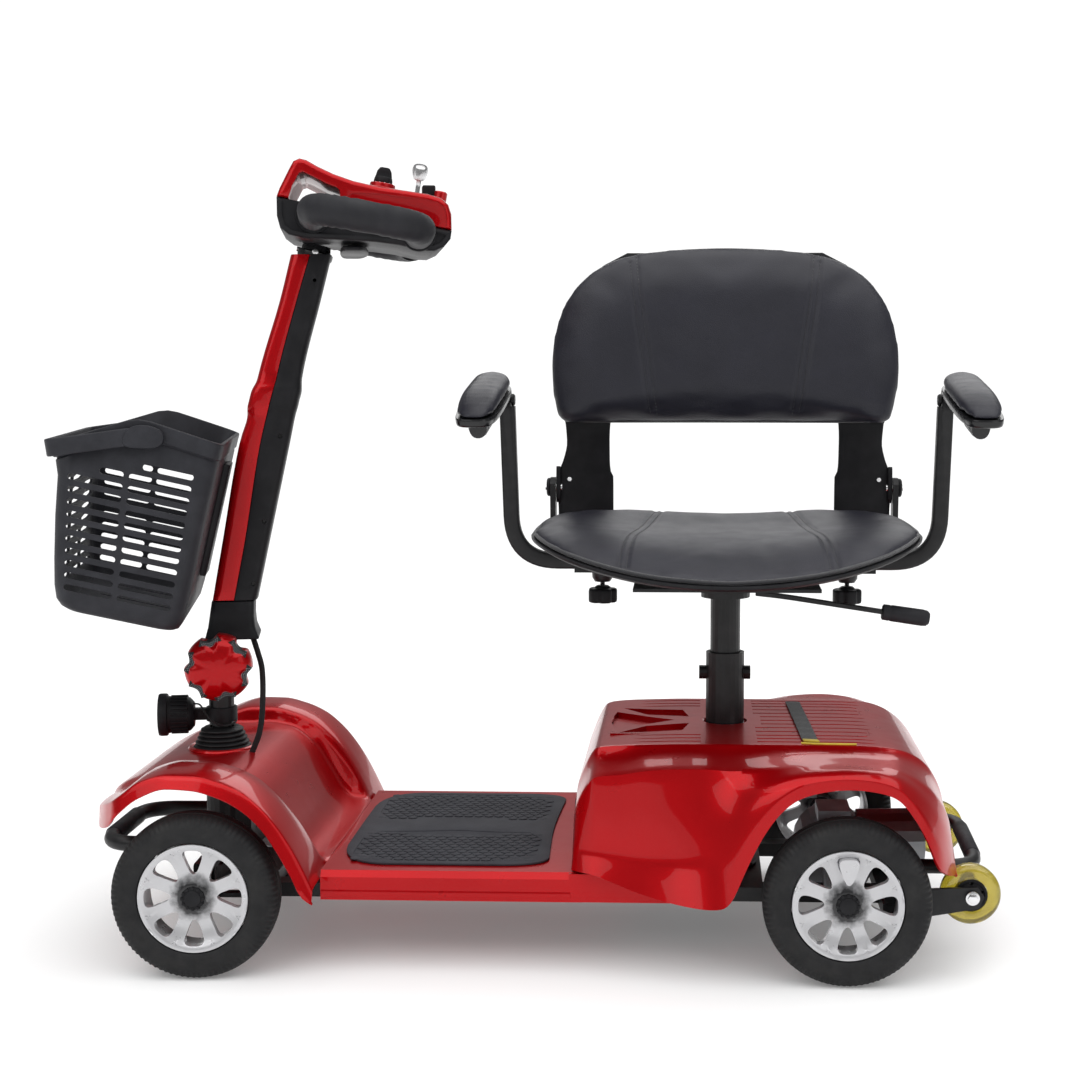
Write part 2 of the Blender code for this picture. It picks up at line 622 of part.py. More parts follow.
# ---------------------------------------------------------------- steering column
def steering_column():
    x = STEER_X
    c, s = math.cos(-TILLER_TURN), math.sin(-TILLER_TURN)
    tip = (x + 0.045 * c, 0.045 * s)
    n = (-s * 0.006, c * 0.006)
    arm = [(x - n[0], -n[1]), (tip[0] - n[0], tip[1] - n[1]), (tip[0] + n[0], tip[1] + n[1]),
           (x + n[0], n[1])]
    shapes = [rod((x, 0, 0.0440), (x, 0, 0.3000), 0.0125, 20)]
    shapes.append(loft([[(a, b, w) for a, b in arm] for w in (0.0445, 0.0505)]))
    shapes.append(rod((tip[0], tip[1], 0.0444), (tip[0], tip[1], 0.0506), 0.0090))
    shapes.append(rod((x, 0, 0.2470), (x, 0, 0.3100), 0.0155, 20))
    lug = [(FOLD_X - 0.013, 0.30), (FOLD_X + 0.013, 0.30), (FOLD_X + 0.013, FOLD_Z)]
    for i in range(1, 7):
        a = math.pi * i / 7
        lug.append((FOLD_X + 0.013 * math.cos(a), FOLD_Z + 0.013 * math.sin(a)))
    lug.append((FOLD_X - 0.013, FOLD_Z))
    shapes.append(prism_y(lug, -0.0085, 0.0085))
    cuts = [rod((FOLD_X, -0.03, FOLD_Z), (FOLD_X, 0.03, FOLD_Z), 0.0054)]
    cuts.append(rod((tip[0], tip[1], 0.03), (tip[0], tip[1], 0.06), 0.0045))
    solid("steering_column", FRAME, "steer_column_body", shapes, cuts)
    body("tie_rod_body", (tip[0], tip[1], 0.0), "steer_column_body", -TILLER_TURN)


steering_column()


def tie_rod():
    """Given in the tie rod's own frame, whose axes are those of the chassis at rest."""
    px, py, _ = PIVOTS["tie_rod_body"]
    ox, oy = px - (STEER_X + 0.045), py
    bar = FRONT_X + 0.064 + ox
    shapes = [rod((bar, -KINGPIN_Y - 0.004 + oy, 0.0545), (bar, KINGPIN_Y + 0.004 + oy, 0.0545), 0.0045)]
    shapes.append(box(px - 0.008, bar + 0.002, oy - 0.010, oy + 0.010, 0.0530, 0.0590))
    shapes.append(box(bar - 0.004, bar + 0.004, oy - 0.0099, oy + 0.0099, 0.0532, 0.0588))
    shapes.append(rod((px, py, 0.0420), (px, py, 0.0560), 0.0041, 12))
    for side in (-1, 1):
        y = side * KINGPIN_Y + oy
        shapes.append(rod((bar, y, 0.0530), (bar, y, 0.0840), 0.0040, 12))
    solid("tie_rod", FRAME, "tie_rod_body", shapes)


tie_rod()

solid("headlight_housing", BLACK, "steer_column_body",
      [revolve([(0.0, -0.659), (0.0170, -0.659), (0.0225, -0.664), (0.0240, -0.690), (0.0262, -0.692),
                (0.0262, -0.703), (0.0235, -0.703), (0.0225, -0.699), (0.0, -0.699)],
               (0, 0, 0.260), (1, 0, 0), 24, False),
       box(-0.664, -0.6444, -0.006, 0.006, 0.253, 0.267),
       revolve([(0.0159, 0.252), (0.0190, 0.252), (0.0190, 0.268), (0.0159, 0.268)],
               (STEER_X, 0, 0), (0, 0, 1), 20)])
solid("headlight_lens", LENS, "steer_column_body",
      [revolve([(0.0, -0.6994), (0.0219, -0.6994), (0.0225, -0.7015), (0.0150, -0.7030),
                (0.0, -0.7035)], (0, 0, 0.260), (1, 0, 0), 24, False)])
solid("harness_lower", RUBBER, "steer_column_body",
      [tube([(-0.5860, -0.034, 0.2240), (-0.5800, -0.035, 0.2400), (-0.5765, -0.035, 0.2600),
             (-0.5750, -0.034, 0.2810)], 0.0035, 8)])
solid("harness_upper", RUBBER, "steer_column_body",
      [tube([(-0.5750, -0.034, 0.2816), (-0.5745, -0.033, 0.3000), (-0.5755, -0.031, 0.3220),
             (-0.5800, -0.028, 0.3400), (-0.5850, -0.025, 0.3520)], 0.0035, 8)])

body("fold_knob_body", (FOLD_X, 0.0, FOLD_Z), "steer_column_body")


def star(r, dip, lobes, per):
    n = lobes * per
    return [((r + dip * math.cos(lobes * 2 * math.pi * i / n)) * math.cos(2 * math.pi * i / n),
             (r + dip * math.cos(lobes * 2 * math.pi * i / n)) * math.sin(2 * math.pi * i / n))
            for i in range(n)]


def star_ring(scale, y, radius=0.0375, dip=0.0050):
    return [(FOLD_X + scale * a, y, FOLD_Z + scale * b) for a, b in star(radius, dip, 6, 6)]


solid("fold_knob", RED, "fold_knob_body",
      [loft([star_ring(0.88, -0.050), star_ring(1.0, -0.055), star_ring(1.0, -0.072),
             star_ring(0.86, -0.081), star_ring(0.50, -0.086)]),
       rod((FOLD_X, 0.0220, FOLD_Z), (FOLD_X, -0.0520, FOLD_Z), 0.0049, 12),
       rod((FOLD_X, -0.0360, FOLD_Z), (FOLD_X, -0.0515, FOLD_Z), 0.0120, 16),
       rod((FOLD_X, 0.0185, FOLD_Z), (FOLD_X, 0.0235, FOLD_Z), 0.0090, 6)])


# ---------------------------------------------------------------- tiller
def along(u, v=0.0, y=0.0):
    """A point of the leaning tiller: u up the mast from the fold axis, v forwards of it."""
    return (FOLD_X + u * math.sin(LEAN) - v * math.cos(LEAN), y,
            FOLD_Z + u * math.cos(LEAN) + v * math.sin(LEAN))


def plates():
    shapes = [rod(along(0.055), along(0.5220), 0.0140, 14)]
    shapes.append(box(-0.6220, -0.5980, -0.0150, 0.0150, 0.3700, 0.4000))
    for side in (-1, 1):
        low, high = sorted((side * 0.0092, side * 0.0150))
        fork = [(FOLD_X - 0.013, FOLD_Z - 0.006), (FOLD_X - 0.006, FOLD_Z - 0.013)]
        fork += [(FOLD_X + 0.006, FOLD_Z - 0.013), (FOLD_X + 0.013, FOLD_Z - 0.006)]
        fork += [(FOLD_X + 0.026, 0.395), (FOLD_X + 0.004, 0.395)]
        shapes.append(prism_y(fork, low, high))
    cuts = [rod((FOLD_X, -0.03, FOLD_Z), (FOLD_X, 0.03, FOLD_Z), 0.0054)]
    solid("tiller_mast", FRAME, "tiller_body", shapes, cuts)


plates()

# z, front edge x, split line x, rear edge x, half width of the tiller's two shells.
TILLER = ((0.405, -0.6335, -0.607, -0.5800, 0.0290), (0.480, -0.6195, -0.592, -0.5635, 0.0290),
          (0.600, -0.5965, -0.571, -0.5370, 0.0290), (0.637, -0.5860, -0.562, -0.5290, 0.0290),
          (0.642, -0.5870, -0.560, -0.5270, 0.0310), (0.665, -0.5800, -0.554, -0.5220, 0.0310),
          (0.672, -0.5755, -0.552, -0.5225, 0.0265), (0.700, -0.5675, -0.545, -0.5165, 0.0265),
          (0.770, -0.5455, -0.525, -0.4975, 0.0265), (0.826, -0.5310, -0.508, -0.4830, 0.0265))


def half_shell(front):
    rings = []
    t = 0.0028
    for z, xf, xs, xr, w in TILLER:
        edge, sign = (xf, 1) if front else (xr, -1)
        split = xs - sign * 0.0003
        c = 0.009
        outer = [(split, -w), (edge + sign * c, -w), (edge, -w + c), (edge, w - c),
                 (edge + sign * c, w), (split, w)]
        inner = [(split, w - t), (edge + sign * (c + 0.001), w - t), (edge + sign * t, w - c - 0.001),
                 (edge + sign * t, -w + c + 0.001), (edge + sign * (c + 0.001), -w + t), (split, -w + t)]
        rings.append([(x, y, z) for x, y in outer + inner])
    return loft(rings)


solid("tiller_front_shell", RED, "tiller_body", [half_shell(True)])
solid("tiller_rear_shell", BLACK, "tiller_body", [half_shell(False)])


def skirt():
    outer = ((0.357, -0.641, -0.580, 0.0330), (0.372, -0.640, -0.5835, 0.0310),
             (0.404, -0.6345, -0.5830, 0.0300))
    rings = []
    for z, a, b, w in outer:
        rings.append([(a, -w, z), (b, -w, z), (b, w, z), (a, w, z)])
    for z, a, b, w in reversed(outer):
        t = 0.0025
        rings.append([(a + t, -w + t, z), (b - t, -w + t, z), (b - t, w - t, z), (a + t, w - t, z)])
    n = 4
    verts = [p for ring in rings for p in ring]
    faces = []
    for i in range(len(rings)):
        k = (i + 1) % len(rings)
        for j in range(n):
            m = (j + 1) % n
            faces.append((i * n + j, i * n + m, k * n + m, k * n + j))
    solid("tiller_skirt", BLACK, "tiller_body", [(verts, faces)])


skirt()

SPLIT = ((-0.544, 0.888), (-0.341, 0.851))


def split_z(x):
    return float(np.interp(x, (SPLIT[0][0], SPLIT[1][0]), (SPLIT[0][1], SPLIT[1][1])))


HEAD_HALF = 0.108
LOWER = [(-0.544, 0.8877), (-0.5435, 0.862), (-0.533, 0.847), (-0.518, 0.841), (-0.470, 0.8390),
         (-0.402, 0.834), (-0.378, 0.827), (-0.360, 0.827), (-0.346, 0.837), (-0.341, 0.8507)]
UPPER = [(-0.544, 0.8883), (-0.5235, 0.926), (-0.516, 0.931), (-0.502, 0.927), (-0.465, 0.911),
         (-0.425, 0.901), (-0.372, 0.894), (-0.350, 0.886), (-0.342, 0.874), (-0.341, 0.8513),
         (-0.437, 0.8688), (-0.437, 0.8860), (-0.466, 0.8980), (-0.511, 0.9170), (-0.516, 0.9140),
         (-0.529, 0.8858)]


def head_shape(outline, wide):
    rows = []
    cx, cz = -0.442, 0.868
    for y, k in ((-wide, 0.93), (-wide + 0.012, 1.0), (wide - 0.012, 1.0), (wide, 0.93)):
        rows.append([(cx + (x - cx) * (0.5 + 0.5 * k), y, z) for x, z in outline])
    return loft(rows)


solid("head_lower_shell", BLACK, "tiller_body", [head_shape(LOWER, HEAD_HALF)])
solid("head_upper_shell", RED, "tiller_body",
      [head_shape(UPPER, HEAD_HALF - 0.004),
       rod((-0.4225, 0, 0.899), (-0.4205, 0, 0.9085), 0.0150, 20)])

for prefix, side in (("left", -1), ("right", 1)):
    edge = HEAD_HALF + GAP
    loop = [(-0.502, side * edge, 0.8660), (-0.5005, side * 0.222, 0.8670),
            (-0.3820, side * 0.222, 0.8465), (-0.3800, side * edge, 0.8460)]
    solid(prefix + "_grip", FOAM, "tiller_body", [tube(rounded(loop, 0.042, 4), 0.0178, 12)])

body("dial_body", (-0.4200, 0.0, 0.9100), "tiller_body")
solid("speed_dial", BLACK, "dial_body",
      [rod((-0.4204, 0, 0.9099), (-0.4190, 0, 0.9190), 0.0115, 16),
       box(-0.4300, -0.4085, -0.0030, 0.0030, 0.9150, 0.9300)])
body("key_body", (-0.3780, 0.0, 0.9000), "tiller_body")
solid("ignition_key", STEEL, "key_body",
      [rod((-0.3785, 0, 0.8954), (-0.3775, 0, 0.9020), 0.0062, 12),
       box(-0.3808, -0.3752, -0.0012, 0.0012, 0.9010, 0.9210),
       rod((-0.3780, -0.0016, 0.9290), (-0.3780, 0.0016, 0.9290), 0.0105, 12)])
body("horn_body", (-0.3600, 0.0, 0.8950), "tiller_body")
solid("horn_button", BLACK, "horn_body",
      [rod((-0.36003, 0.020, 0.8937), (-0.3590, 0.020, 0.8998), 0.0068, 12)])
body("paddle_body", (-0.4550, 0.0, 0.8300), "tiller_body")


def paddle():
    out = [(-0.4680, -0.090), (-0.4480, -0.090), (-0.4400, -0.030), (-0.4400, 0.030)]
    out += [(-0.4480, 0.090), (-0.4680, 0.090), (-0.4700, 0.030), (-0.4700, -0.030)]
    plate = loft([[(x, y, w) for x, y in out] for w in (0.8275, 0.8330)])
    solid("throttle_paddle", BLACK, "paddle_body",
          [plate, rod((-0.4550, 0, 0.8300), (-0.4550, 0, 0.8352), 0.0090, 12)])


paddle()

# ---------------------------------------------------------------- basket
BASKET_REAR = 0.0470
BASKET_HALF = 0.170


def rim_u(v):
    return float(np.interp(v, (0.047, 0.136, 0.226), (0.270, 0.2790, 0.2320)))


def basket_ring(v0, v1, half, u, inset=0.0, rim=False, drop=0.0):
    a, b, w = v0 + inset, v1 - inset, half - inset
    c = 0.016
    mid = a + 0.50 * (b - a)
    pts = [(a, w - c), (a + c, w), (mid, w), (b - c, w), (b, w - c)]
    pts += [(v, -y) for v, y in reversed(pts)]
    return [along(rim_u(v) - drop if rim else u, v, y) for v, y in pts]


def basket():
    t = 0.0035
    v0 = BASKET_REAR
    rings = [basket_ring(v0 + 0.012, 0.176, 0.146, 0.044), basket_ring(v0 + 0.003, 0.196, 0.154, 0.056),
             basket_ring(v0, 0.214, 0.163, 0.150), basket_ring(v0, 0.224, BASKET_HALF, 0, 0, True, 0.020),
             basket_ring(v0 - 0.002, 0.2295, BASKET_HALF + 0.005, 0, 0, True, 0.018),
             basket_ring(v0 - 0.002, 0.2300, BASKET_HALF + 0.005, 0, 0, True, 0.0),
             basket_ring(v0, 0.224, BASKET_HALF, 0, t, True, 0.0),
             basket_ring(v0, 0.214, 0.163, 0.150, t), basket_ring(v0 + 0.003, 0.196, 0.154, 0.060, t),
             basket_ring(v0 + 0.012, 0.176, 0.146, 0.050, t)]
    outer = loft(rings)
    cuts = []
    for i in range(7):
        u = 0.088 + 0.0210 * i
        for a, b in ((0.072, 0.122), (0.129, 0.186)):
            ring = []
            for v, du in ((a, 0.0), (b, 0.0), (b, 0.0100), (a, 0.0100)):
                ring.append((v, u + du))
            cuts.append(loft([[along(q, v, y) for v, q in ring] for y in (-0.20, 0.20)]))
    solid("basket", BLACK, "basket_body", [outer], cuts)


body("basket_body", along(0.16, 0.04), "tiller_body")
basket()
PIV = (0.2620, 0.1300)
body("basket_handle_body", along(PIV[0], PIV[1]), "basket_body")


def handle():
    y = BASKET_HALF + 0.0095
    path = [along(PIV[0], PIV[1], -y), along(0.2560, 0.150, -y), along(0.2220, 0.2380, -y),
            along(0.2220, 0.2380, y), along(0.2560, 0.150, y), along(PIV[0], PIV[1], y)]
    path = rounded(path, 0.018, 3)
    profile = [(-0.0035, -0.0100), (0.0035, -0.0100), (0.0035, 0.0100), (-0.0035, 0.0100)]
    shapes = [sweep(path, profile, (math.sin(LEAN), 0, math.cos(LEAN)))]
    for side in (-1, 1):
        a, b = along(PIV[0], PIV[1], side * (y - 0.0035)), along(PIV[0], PIV[1], side * (y + 0.0035))
        shapes.append(rod(a, b, 0.0125, 16))
    solid("basket_handle", BLACK, "basket_handle_body", shapes)


handle()


# ---------------------------------------------------------------- seat
body("seat_post_body", (0.0, 0.0, 0.0), "scooter")
solid("seat_post", FRAME, "seat_post_body",
      [rod((0, 0, 0.150), (0, 0, 0.4180), POST_R, 24), rod((0, 0, 0.4100), (0, 0, 0.4180), 0.0300, 24)])
body("seat_body", (0.0, 0.0, 0.0), "seat_post_body")


def seat_base():
    shapes = [rod((0, 0, 0.4184), (0, 0, 0.4300), 0.0420, 24)]
    shapes.append(box(-0.110, 0.110, -0.110, 0.110, 0.4290, 0.4330))
    cuts = []
    for side in (-1, 1):
        low, high = sorted((side * 0.060, side * 0.190))
        shapes.append(box(low, high, ARM_Y - 0.014, ARM_Y + 0.014, 0.4305, 0.4580))
        shapes.append(rod((side * 0.155, ARM_Y, 0.4240), (side * 0.155, ARM_Y, 0.4320), 0.0080, 12))
        cuts.append(rod((side * 0.085, ARM_Y, ARM_Z), (side * 0.25, ARM_Y, ARM_Z), 0.0103, 14))
        low, high = sorted((side * 0.040, side * 0.075))
        shapes.append(box(low, high, 0.100, 0.200, 0.4291, 0.4335))
        low, high = sorted((side * 0.2225, side * 0.2295))
        ear = [(0.183, 0.4300), (0.207, 0.4300), (0.205, 0.5350), (0.198, 0.5430), (0.183, 0.5430),
               (0.177, 0.5350)]
        shapes.append(loft([[(x, y, z) for y, z in ear] for x in (low, high)]))
        cuts.append(rod((side * 0.20, PIVOT_BACK_Y, PIVOT_BACK_Z),
                        (side * 0.25, PIVOT_BACK_Y, PIVOT_BACK_Z), 0.0059, 14))
    shapes.append(box(-0.2290, 0.2290, 0.1845, 0.2050, 0.4292, 0.4400))
    solid("seat_base", FRAME, "seat_body", shapes, cuts)


seat_base()


def plan(phi):
    """Outline of the cushion in plan. Its front looks towards -Y."""
    c, s = math.cos(phi), math.sin(phi)
    power = 2.6 if s > 0 else 2.3
    deep = 0.165 if s > 0 else 0.215
    r = (abs(c / SEAT_HALF) ** power + abs(s / deep) ** power) ** (-1 / power)
    return r * c, r * s


def cushion_top(x, y):
    rise = 0.030 * max(y, 0.0) / 0.165 * max(y, 0.0) / 0.165
    fall = 0.016 * (min(y, 0.0) / 0.215) ** 2
    return 0.4810 + rise - fall + 0.40 * x * x


def cushion():
    seg = 32
    rings = []
    for f, drop, low in ((0.45, 0.0, 0), (0.78, 0.001, 0), (0.93, 0.004, 0), (0.985, 0.009, 0),
                         (1.0, 0.015, 0), (0.97, 0.021, 0), (0.70, 0, 1), (0.35, 0, 1)):
        ring = []
        for i in range(seg):
            x, y = plan(2 * math.pi * i / seg)
            z = cushion_top(x * f, y * f) - drop
            if low:
                z = max(cushion_top(x * f, y * f) - 0.026, 0.4590)
            ring.append((x * f, y * f, z))
        rings.append(ring)
    solid("seat_cushion", LEATHER, "seat_body", [loft(rings)])


cushion()

body("seat_back_body", (0.0, PIVOT_BACK_Y, PIVOT_BACK_Z), "seat_body")
BACK_OUT = ((0.000, 0.848), (0.070, 0.8465), (0.120, 0.8400), (0.160, 0.8260), (0.192, 0.8020),
            (0.214, 0.7700), (0.226, 0.7300), (0.229, 0.6900), (0.225, 0.6550), (0.219, 0.6200),
            (0.200, 0.6130), (0.110, 0.6140), (0.000, 0.6140))


def back_y(x, z):
    return 0.1780 + 0.12 * (z - 0.616) - 0.34 * x * x


def back_ring(scale, off):
    ring = []
    half = [(x, z) for x, z in BACK_OUT]
    full = half + [(-x, z) for x, z in reversed(half[1:-1])]
    cz = 0.728
    for x, z in full:
        a, b = x * scale, cz + (z - cz) * scale
        ring.append((a, back_y(a, b) + off, b))
    return ring


solid("back_cushion", LEATHER, "seat_back_body",
      [loft([back_ring(0.40, -0.0405), back_ring(0.80, -0.0390), back_ring(0.94, -0.0340),
             back_ring(0.995, -0.0240), back_ring(1.0, -0.0120), back_ring(0.985, -0.0010),
             back_ring(0.5, -0.0010)])])


def back_frame():
    """A thin shell behind the cushion with two side plates down to the hinge."""
    grid = []
    for z in (0.6180, 0.700, 0.780, 0.812):
        half = 0.205 if z < 0.75 else (0.185 if z < 0.8 else 0.150)
        grid.append([(x, back_y(x, z) + 0.0062, z) for x in np.linspace(-half, half, 13)])
    shapes = [skin(grid, 0.0040)]
    for side in (-1, 1):
        rings = []
        for z, a, b in ((0.500, 0.150, 0.2190), (0.545, 0.147, 0.2190), (0.600, 0.147, 0.208),
                        (0.6600, 0.150, 0.200)):
            xs = (a, 0.5 * (a + b), b)
            y = [(0.1945 if z < 0.55 else back_y(x, z) + 0.0068) for x in xs]
            if z < 0.52:
                y = [0.1945] * 3
            front = [(side * x, w - 0.0068, z) for x, w in zip(xs, y)]
            back = [(side * x, w, z) for x, w in zip(reversed(xs), reversed(y))]
            rings.append(front + back)
        shapes.append(loft(rings))
        shapes.append(rod((side * 0.2150, PIVOT_BACK_Y, PIVOT_BACK_Z),
                          (side * 0.2330, PIVOT_BACK_Y, PIVOT_BACK_Z), 0.0055, 12))
        shapes.append(rod((side * 0.2300, PIVOT_BACK_Y, PIVOT_BACK_Z),
                          (side * 0.2345, PIVOT_BACK_Y, PIVOT_BACK_Z), 0.0110, 16))
    solid("back_frame", BLACK, "seat_back_body", shapes)


back_frame()

for prefix, side in (("left", -1), ("right", 1)):
    arm = prefix + "_arm_body"
    body(arm, (side * 0.19, ARM_Y, ARM_Z), "seat_body")
    path = [(side * 0.100, ARM_Y, ARM_Z), (side * (ARM_X - 0.006), ARM_Y, ARM_Z),
            (side * ARM_X, ARM_Y, 0.6380)]
    low, high = sorted((side * (ARM_X - 0.0040), side * (ARM_X + 0.0040)))
    ear = [(0.070, 0.625), (0.090, 0.625), (0.0965, 0.642), (0.0965, 0.652), (0.090, 0.660),
           (0.078, 0.660), (0.070, 0.648)]
    solid(prefix + "_arm_tube", FRAME, arm,
          [tube(rounded(path, 0.055, 5), 0.0098, 14),
           loft([[(x, y, z) for y, z in ear] for x in (low, high)])],
          [rod((side * 0.25, 0.085, 0.648), (side * 0.30, 0.085, 0.648), 0.0044, 12)])
    pad = prefix + "_pad_body"
    body(pad, (side * ARM_X, 0.085, 0.648), arm)
    tilt = math.radians(8.5)
    inner = side * (ARM_X + 0.0152)
    centre = side * 0.2935

    def at(length, x, up):
        """A point of the pad: length forwards from its hinge, x across, up out of its top."""
        return (x, 0.085 - length * math.cos(tilt) + up * math.sin(tilt) * -1,
                0.648 - length * math.sin(tilt) + up * math.cos(tilt))

    rings = []
    for s, half, rise in ((-0.022, 0.014, 0.012), (-0.014, 0.021, 0.021), (0.04, 0.0245, 0.029),
                          (0.13, 0.0255, 0.029), (0.19, 0.0235, 0.025), (0.212, 0.0195, 0.018),
                          (0.2185, 0.0150, 0.009)):
        base = 0.0135
        ring = [at(s, centre - half * 0.92, base), at(s, centre + half * 0.92, base)]
        ring += [at(s, centre + half, base + 0.005), at(s, centre + half * 0.80, base + rise * 0.72)]
        ring += [at(s, centre, base + rise * 0.92), at(s, centre - half * 0.80, base + rise * 0.72)]
        ring += [at(s, centre - half, base + 0.005)]
        rings.append(ring)
    plate = sorted((inner - side * 0.0045, inner))
    cheek = [at(-0.010, 0, -0.006), at(0.010, 0, -0.009), at(0.080, 0, 0.004), at(0.150, 0, 0.016),
             at(-0.010, 0, 0.016)]
    shapes = [loft(rings)]
    shapes.append(loft([[(x, p[1], p[2]) for p in cheek] for x in plate]))
    pin_a, pin_b = side * (ARM_X - 0.0080), side * (ARM_X + 0.0130)
    shapes.append(rod((pin_a, 0.085, 0.648), (pin_b, 0.085, 0.648), 0.0040, 12))
    head_a, head_b = pin_a - side * 0.0010, pin_a + side * 0.0032
    shapes.append(rod((head_a, 0.085, 0.648), (head_b, 0.085, 0.648), 0.0075, 12))
    solid(prefix + "_arm_pad", LEATHER, pad, shapes)
    knob = prefix + "_arm_knob_body"
    body(knob, (side * 0.155, ARM_Y, 0.0), "seat_body")
    lobes = [(side * 0.155 + a, ARM_Y + b) for a, b in star(0.0165, 0.0025, 5, 4)]
    solid(prefix + "_arm_knob", BLACK, knob,
          [loft([[(x, y, w) for x, y in lobes] for w in (0.3925, 0.4080)]),
           rod((side * 0.155, ARM_Y, 0.4070), (side * 0.155, ARM_Y, 0.4120), 0.0095, 12),
           rod((side * 0.155, ARM_Y, 0.4100), (side * 0.155, ARM_Y, 0.4236), 0.0030, 10)])

body("swivel_lever_body", (0.050, -0.060, 0.4200), "seat_body")
solid("swivel_lever", FRAME, "swivel_lever_body",
      [sweep([(0.0350, -0.060, 0.4220), (0.060, -0.060, 0.4190), (0.130, -0.060, 0.4090),
              (0.196, -0.060, 0.3990)],
             [(-0.006, -0.0025), (0.006, -0.0025), (0.006, 0.0025), (-0.006, 0.0025)],
             (0, 0, 1)),
       rod((0.186, -0.060, 0.4005), (0.242, -0.060, 0.3925), 0.0098, 14)])

bpy.context.view_layer.update()
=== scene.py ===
"""Mobility scooter: the visual model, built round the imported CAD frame. Metres, +X to the rear, +Z up."""

import math

import bmesh
import bpy
import numpy as np
from mathutils import Matrix, Vector
from mathutils.bvhtree import BVHTree


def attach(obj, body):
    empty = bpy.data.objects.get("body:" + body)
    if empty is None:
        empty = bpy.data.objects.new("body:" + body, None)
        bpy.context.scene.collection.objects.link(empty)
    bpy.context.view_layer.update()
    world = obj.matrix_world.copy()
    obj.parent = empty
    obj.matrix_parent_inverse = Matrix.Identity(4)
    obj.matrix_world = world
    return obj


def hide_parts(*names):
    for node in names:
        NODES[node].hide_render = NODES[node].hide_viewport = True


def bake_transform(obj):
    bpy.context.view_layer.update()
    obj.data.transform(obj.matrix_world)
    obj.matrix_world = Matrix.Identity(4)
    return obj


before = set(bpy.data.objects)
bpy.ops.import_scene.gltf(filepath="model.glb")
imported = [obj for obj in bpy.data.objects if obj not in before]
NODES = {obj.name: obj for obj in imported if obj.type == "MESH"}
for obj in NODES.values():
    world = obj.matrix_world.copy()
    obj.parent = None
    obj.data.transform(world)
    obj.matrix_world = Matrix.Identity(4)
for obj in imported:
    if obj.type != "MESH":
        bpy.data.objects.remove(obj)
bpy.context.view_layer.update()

SHIFT_X, SHIFT_Y = 0.2592, -0.016
STEER_X = -0.627
TILLER_TURN = math.radians(11.0)
WHEEL_TURN = math.radians(2.0)
FRONT_X, REAR_X, WHEEL_Y, WHEEL_R, KINGPIN_Y = -0.6046, 0.1342, 0.2165, 0.095, 0.155
FOLD_X, FOLD_Z = -0.625, 0.329
LEAN = math.radians(13.4)
MAST_AXIS = (math.sin(LEAN), 0, math.cos(LEAN))
DECK_Z = 0.1165
SEAT_HALF = 0.24
ARM_X, ARM_Y, ARM_Z = 0.275, 0.08, 0.444
BACK_Y, BACK_Z = 0.19, 0.53
PAD_Y, PAD_Z, KNOB_X = 0.085, 0.648, 0.155
LAMP_Z = 0.26
SEAM_GAP = 0.0085
PUFF_FRAMES = 20
SIDES = (("left", -1), ("right", 1))


# ---------------------------------------------------------------- materials
class Finish:
    """A Principled material. Its detail follows the piece's own coordinates."""

    def __init__(self, name, color, rough, metal=0.0, **sockets):
        self.mat = bpy.data.materials.new(name)
        self.mat.use_nodes = True
        self.mat.diffuse_color = (*color, 1.0)
        self.tree = self.mat.node_tree
        self.shader = self.tree.nodes["Principled BSDF"]
        self.color, self.rough = color, rough
        self.put("Base Color", (*color, 1.0))
        self.put("Roughness", rough)
        self.put("Metallic", metal)
        for key, value in sockets.items():
            self.put(key.replace("_", " "), value)
        self.place = self.node("ShaderNodeTexCoord").outputs["Object"]
        self.height = None

    def put(self, socket, value):
        self.shader.inputs[socket].default_value = value

    def node(self, kind, inputs=(), **settings):
        made = self.tree.nodes.new(kind)
        for key, value in settings.items():
            setattr(made, key, value)
        for key, value in dict(inputs).items():
            if isinstance(value, bpy.types.NodeSocket):
                self.tree.links.new(value, made.inputs[key])
            else:
                made.inputs[key].default_value = value
        return made

    def link(self, output, socket):
        self.tree.links.new(output, self.shader.inputs[socket])

    def math(self, operation, a, b=0.0):
        return self.node("ShaderNodeMath", {0: a, 1: b}, operation=operation).outputs[0]

    def noise(self, scale, detail=2.0, stretch=None, rough=0.5):
        place = self.place
        if stretch:
            place = self.node("ShaderNodeMapping", {"Vector": place, "Scale": stretch}).outputs[0]
        return self.node("ShaderNodeTexNoise", {"Vector": place, "Scale": scale, "Detail": detail,
            "Roughness": rough}).outputs["Fac"]

    def cells(self, scale, feature="F1", output="Distance"):
        return self.node("ShaderNodeTexVoronoi", {"Vector": self.place, "Scale": scale},
            feature=feature).outputs[output]

    def span(self, value, low, high, to_low=0.0, to_high=1.0):
        return self.node("ShaderNodeMapRange", {"Value": value, "From Min": low, "From Max": high, "To Min": to_low,
            "To Max": to_high}).outputs[0]

    def blend(self, factor, a, b):
        made = self.node("ShaderNodeMix", data_type="RGBA")
        for slot, value in ((6, a), (7, b)):
            if isinstance(value, bpy.types.NodeSocket):
                self.tree.links.new(value, made.inputs[slot])
            else:
                made.inputs[slot].default_value = (*value, 1.0)
        self.tree.links.new(factor, made.inputs[0])
        return made.outputs[2]

    def tint(self, factor, a, b):
        self.link(self.blend(factor, a, b), "Base Color")
        return self

    def vary_rough(self, factor, low, high):
        self.link(self.span(factor, 0.3, 0.7, low, high), "Roughness")
        return self

    def clouded(self, noise, low, high, dark, light):
        """Two tones of the colour, mixed by noise."""
        return self.tint(self.span(self.noise(*noise), low, high), dark, light)

    def bump(self, height, depth, strength=1.0):
        inputs = {"Height": height, "Distance": depth, "Strength": strength}
        if self.height is not None:
            inputs["Normal"] = self.height
        self.height = self.node("ShaderNodeBump", inputs).outputs[0]
        self.link(self.height, "Normal")
        return self

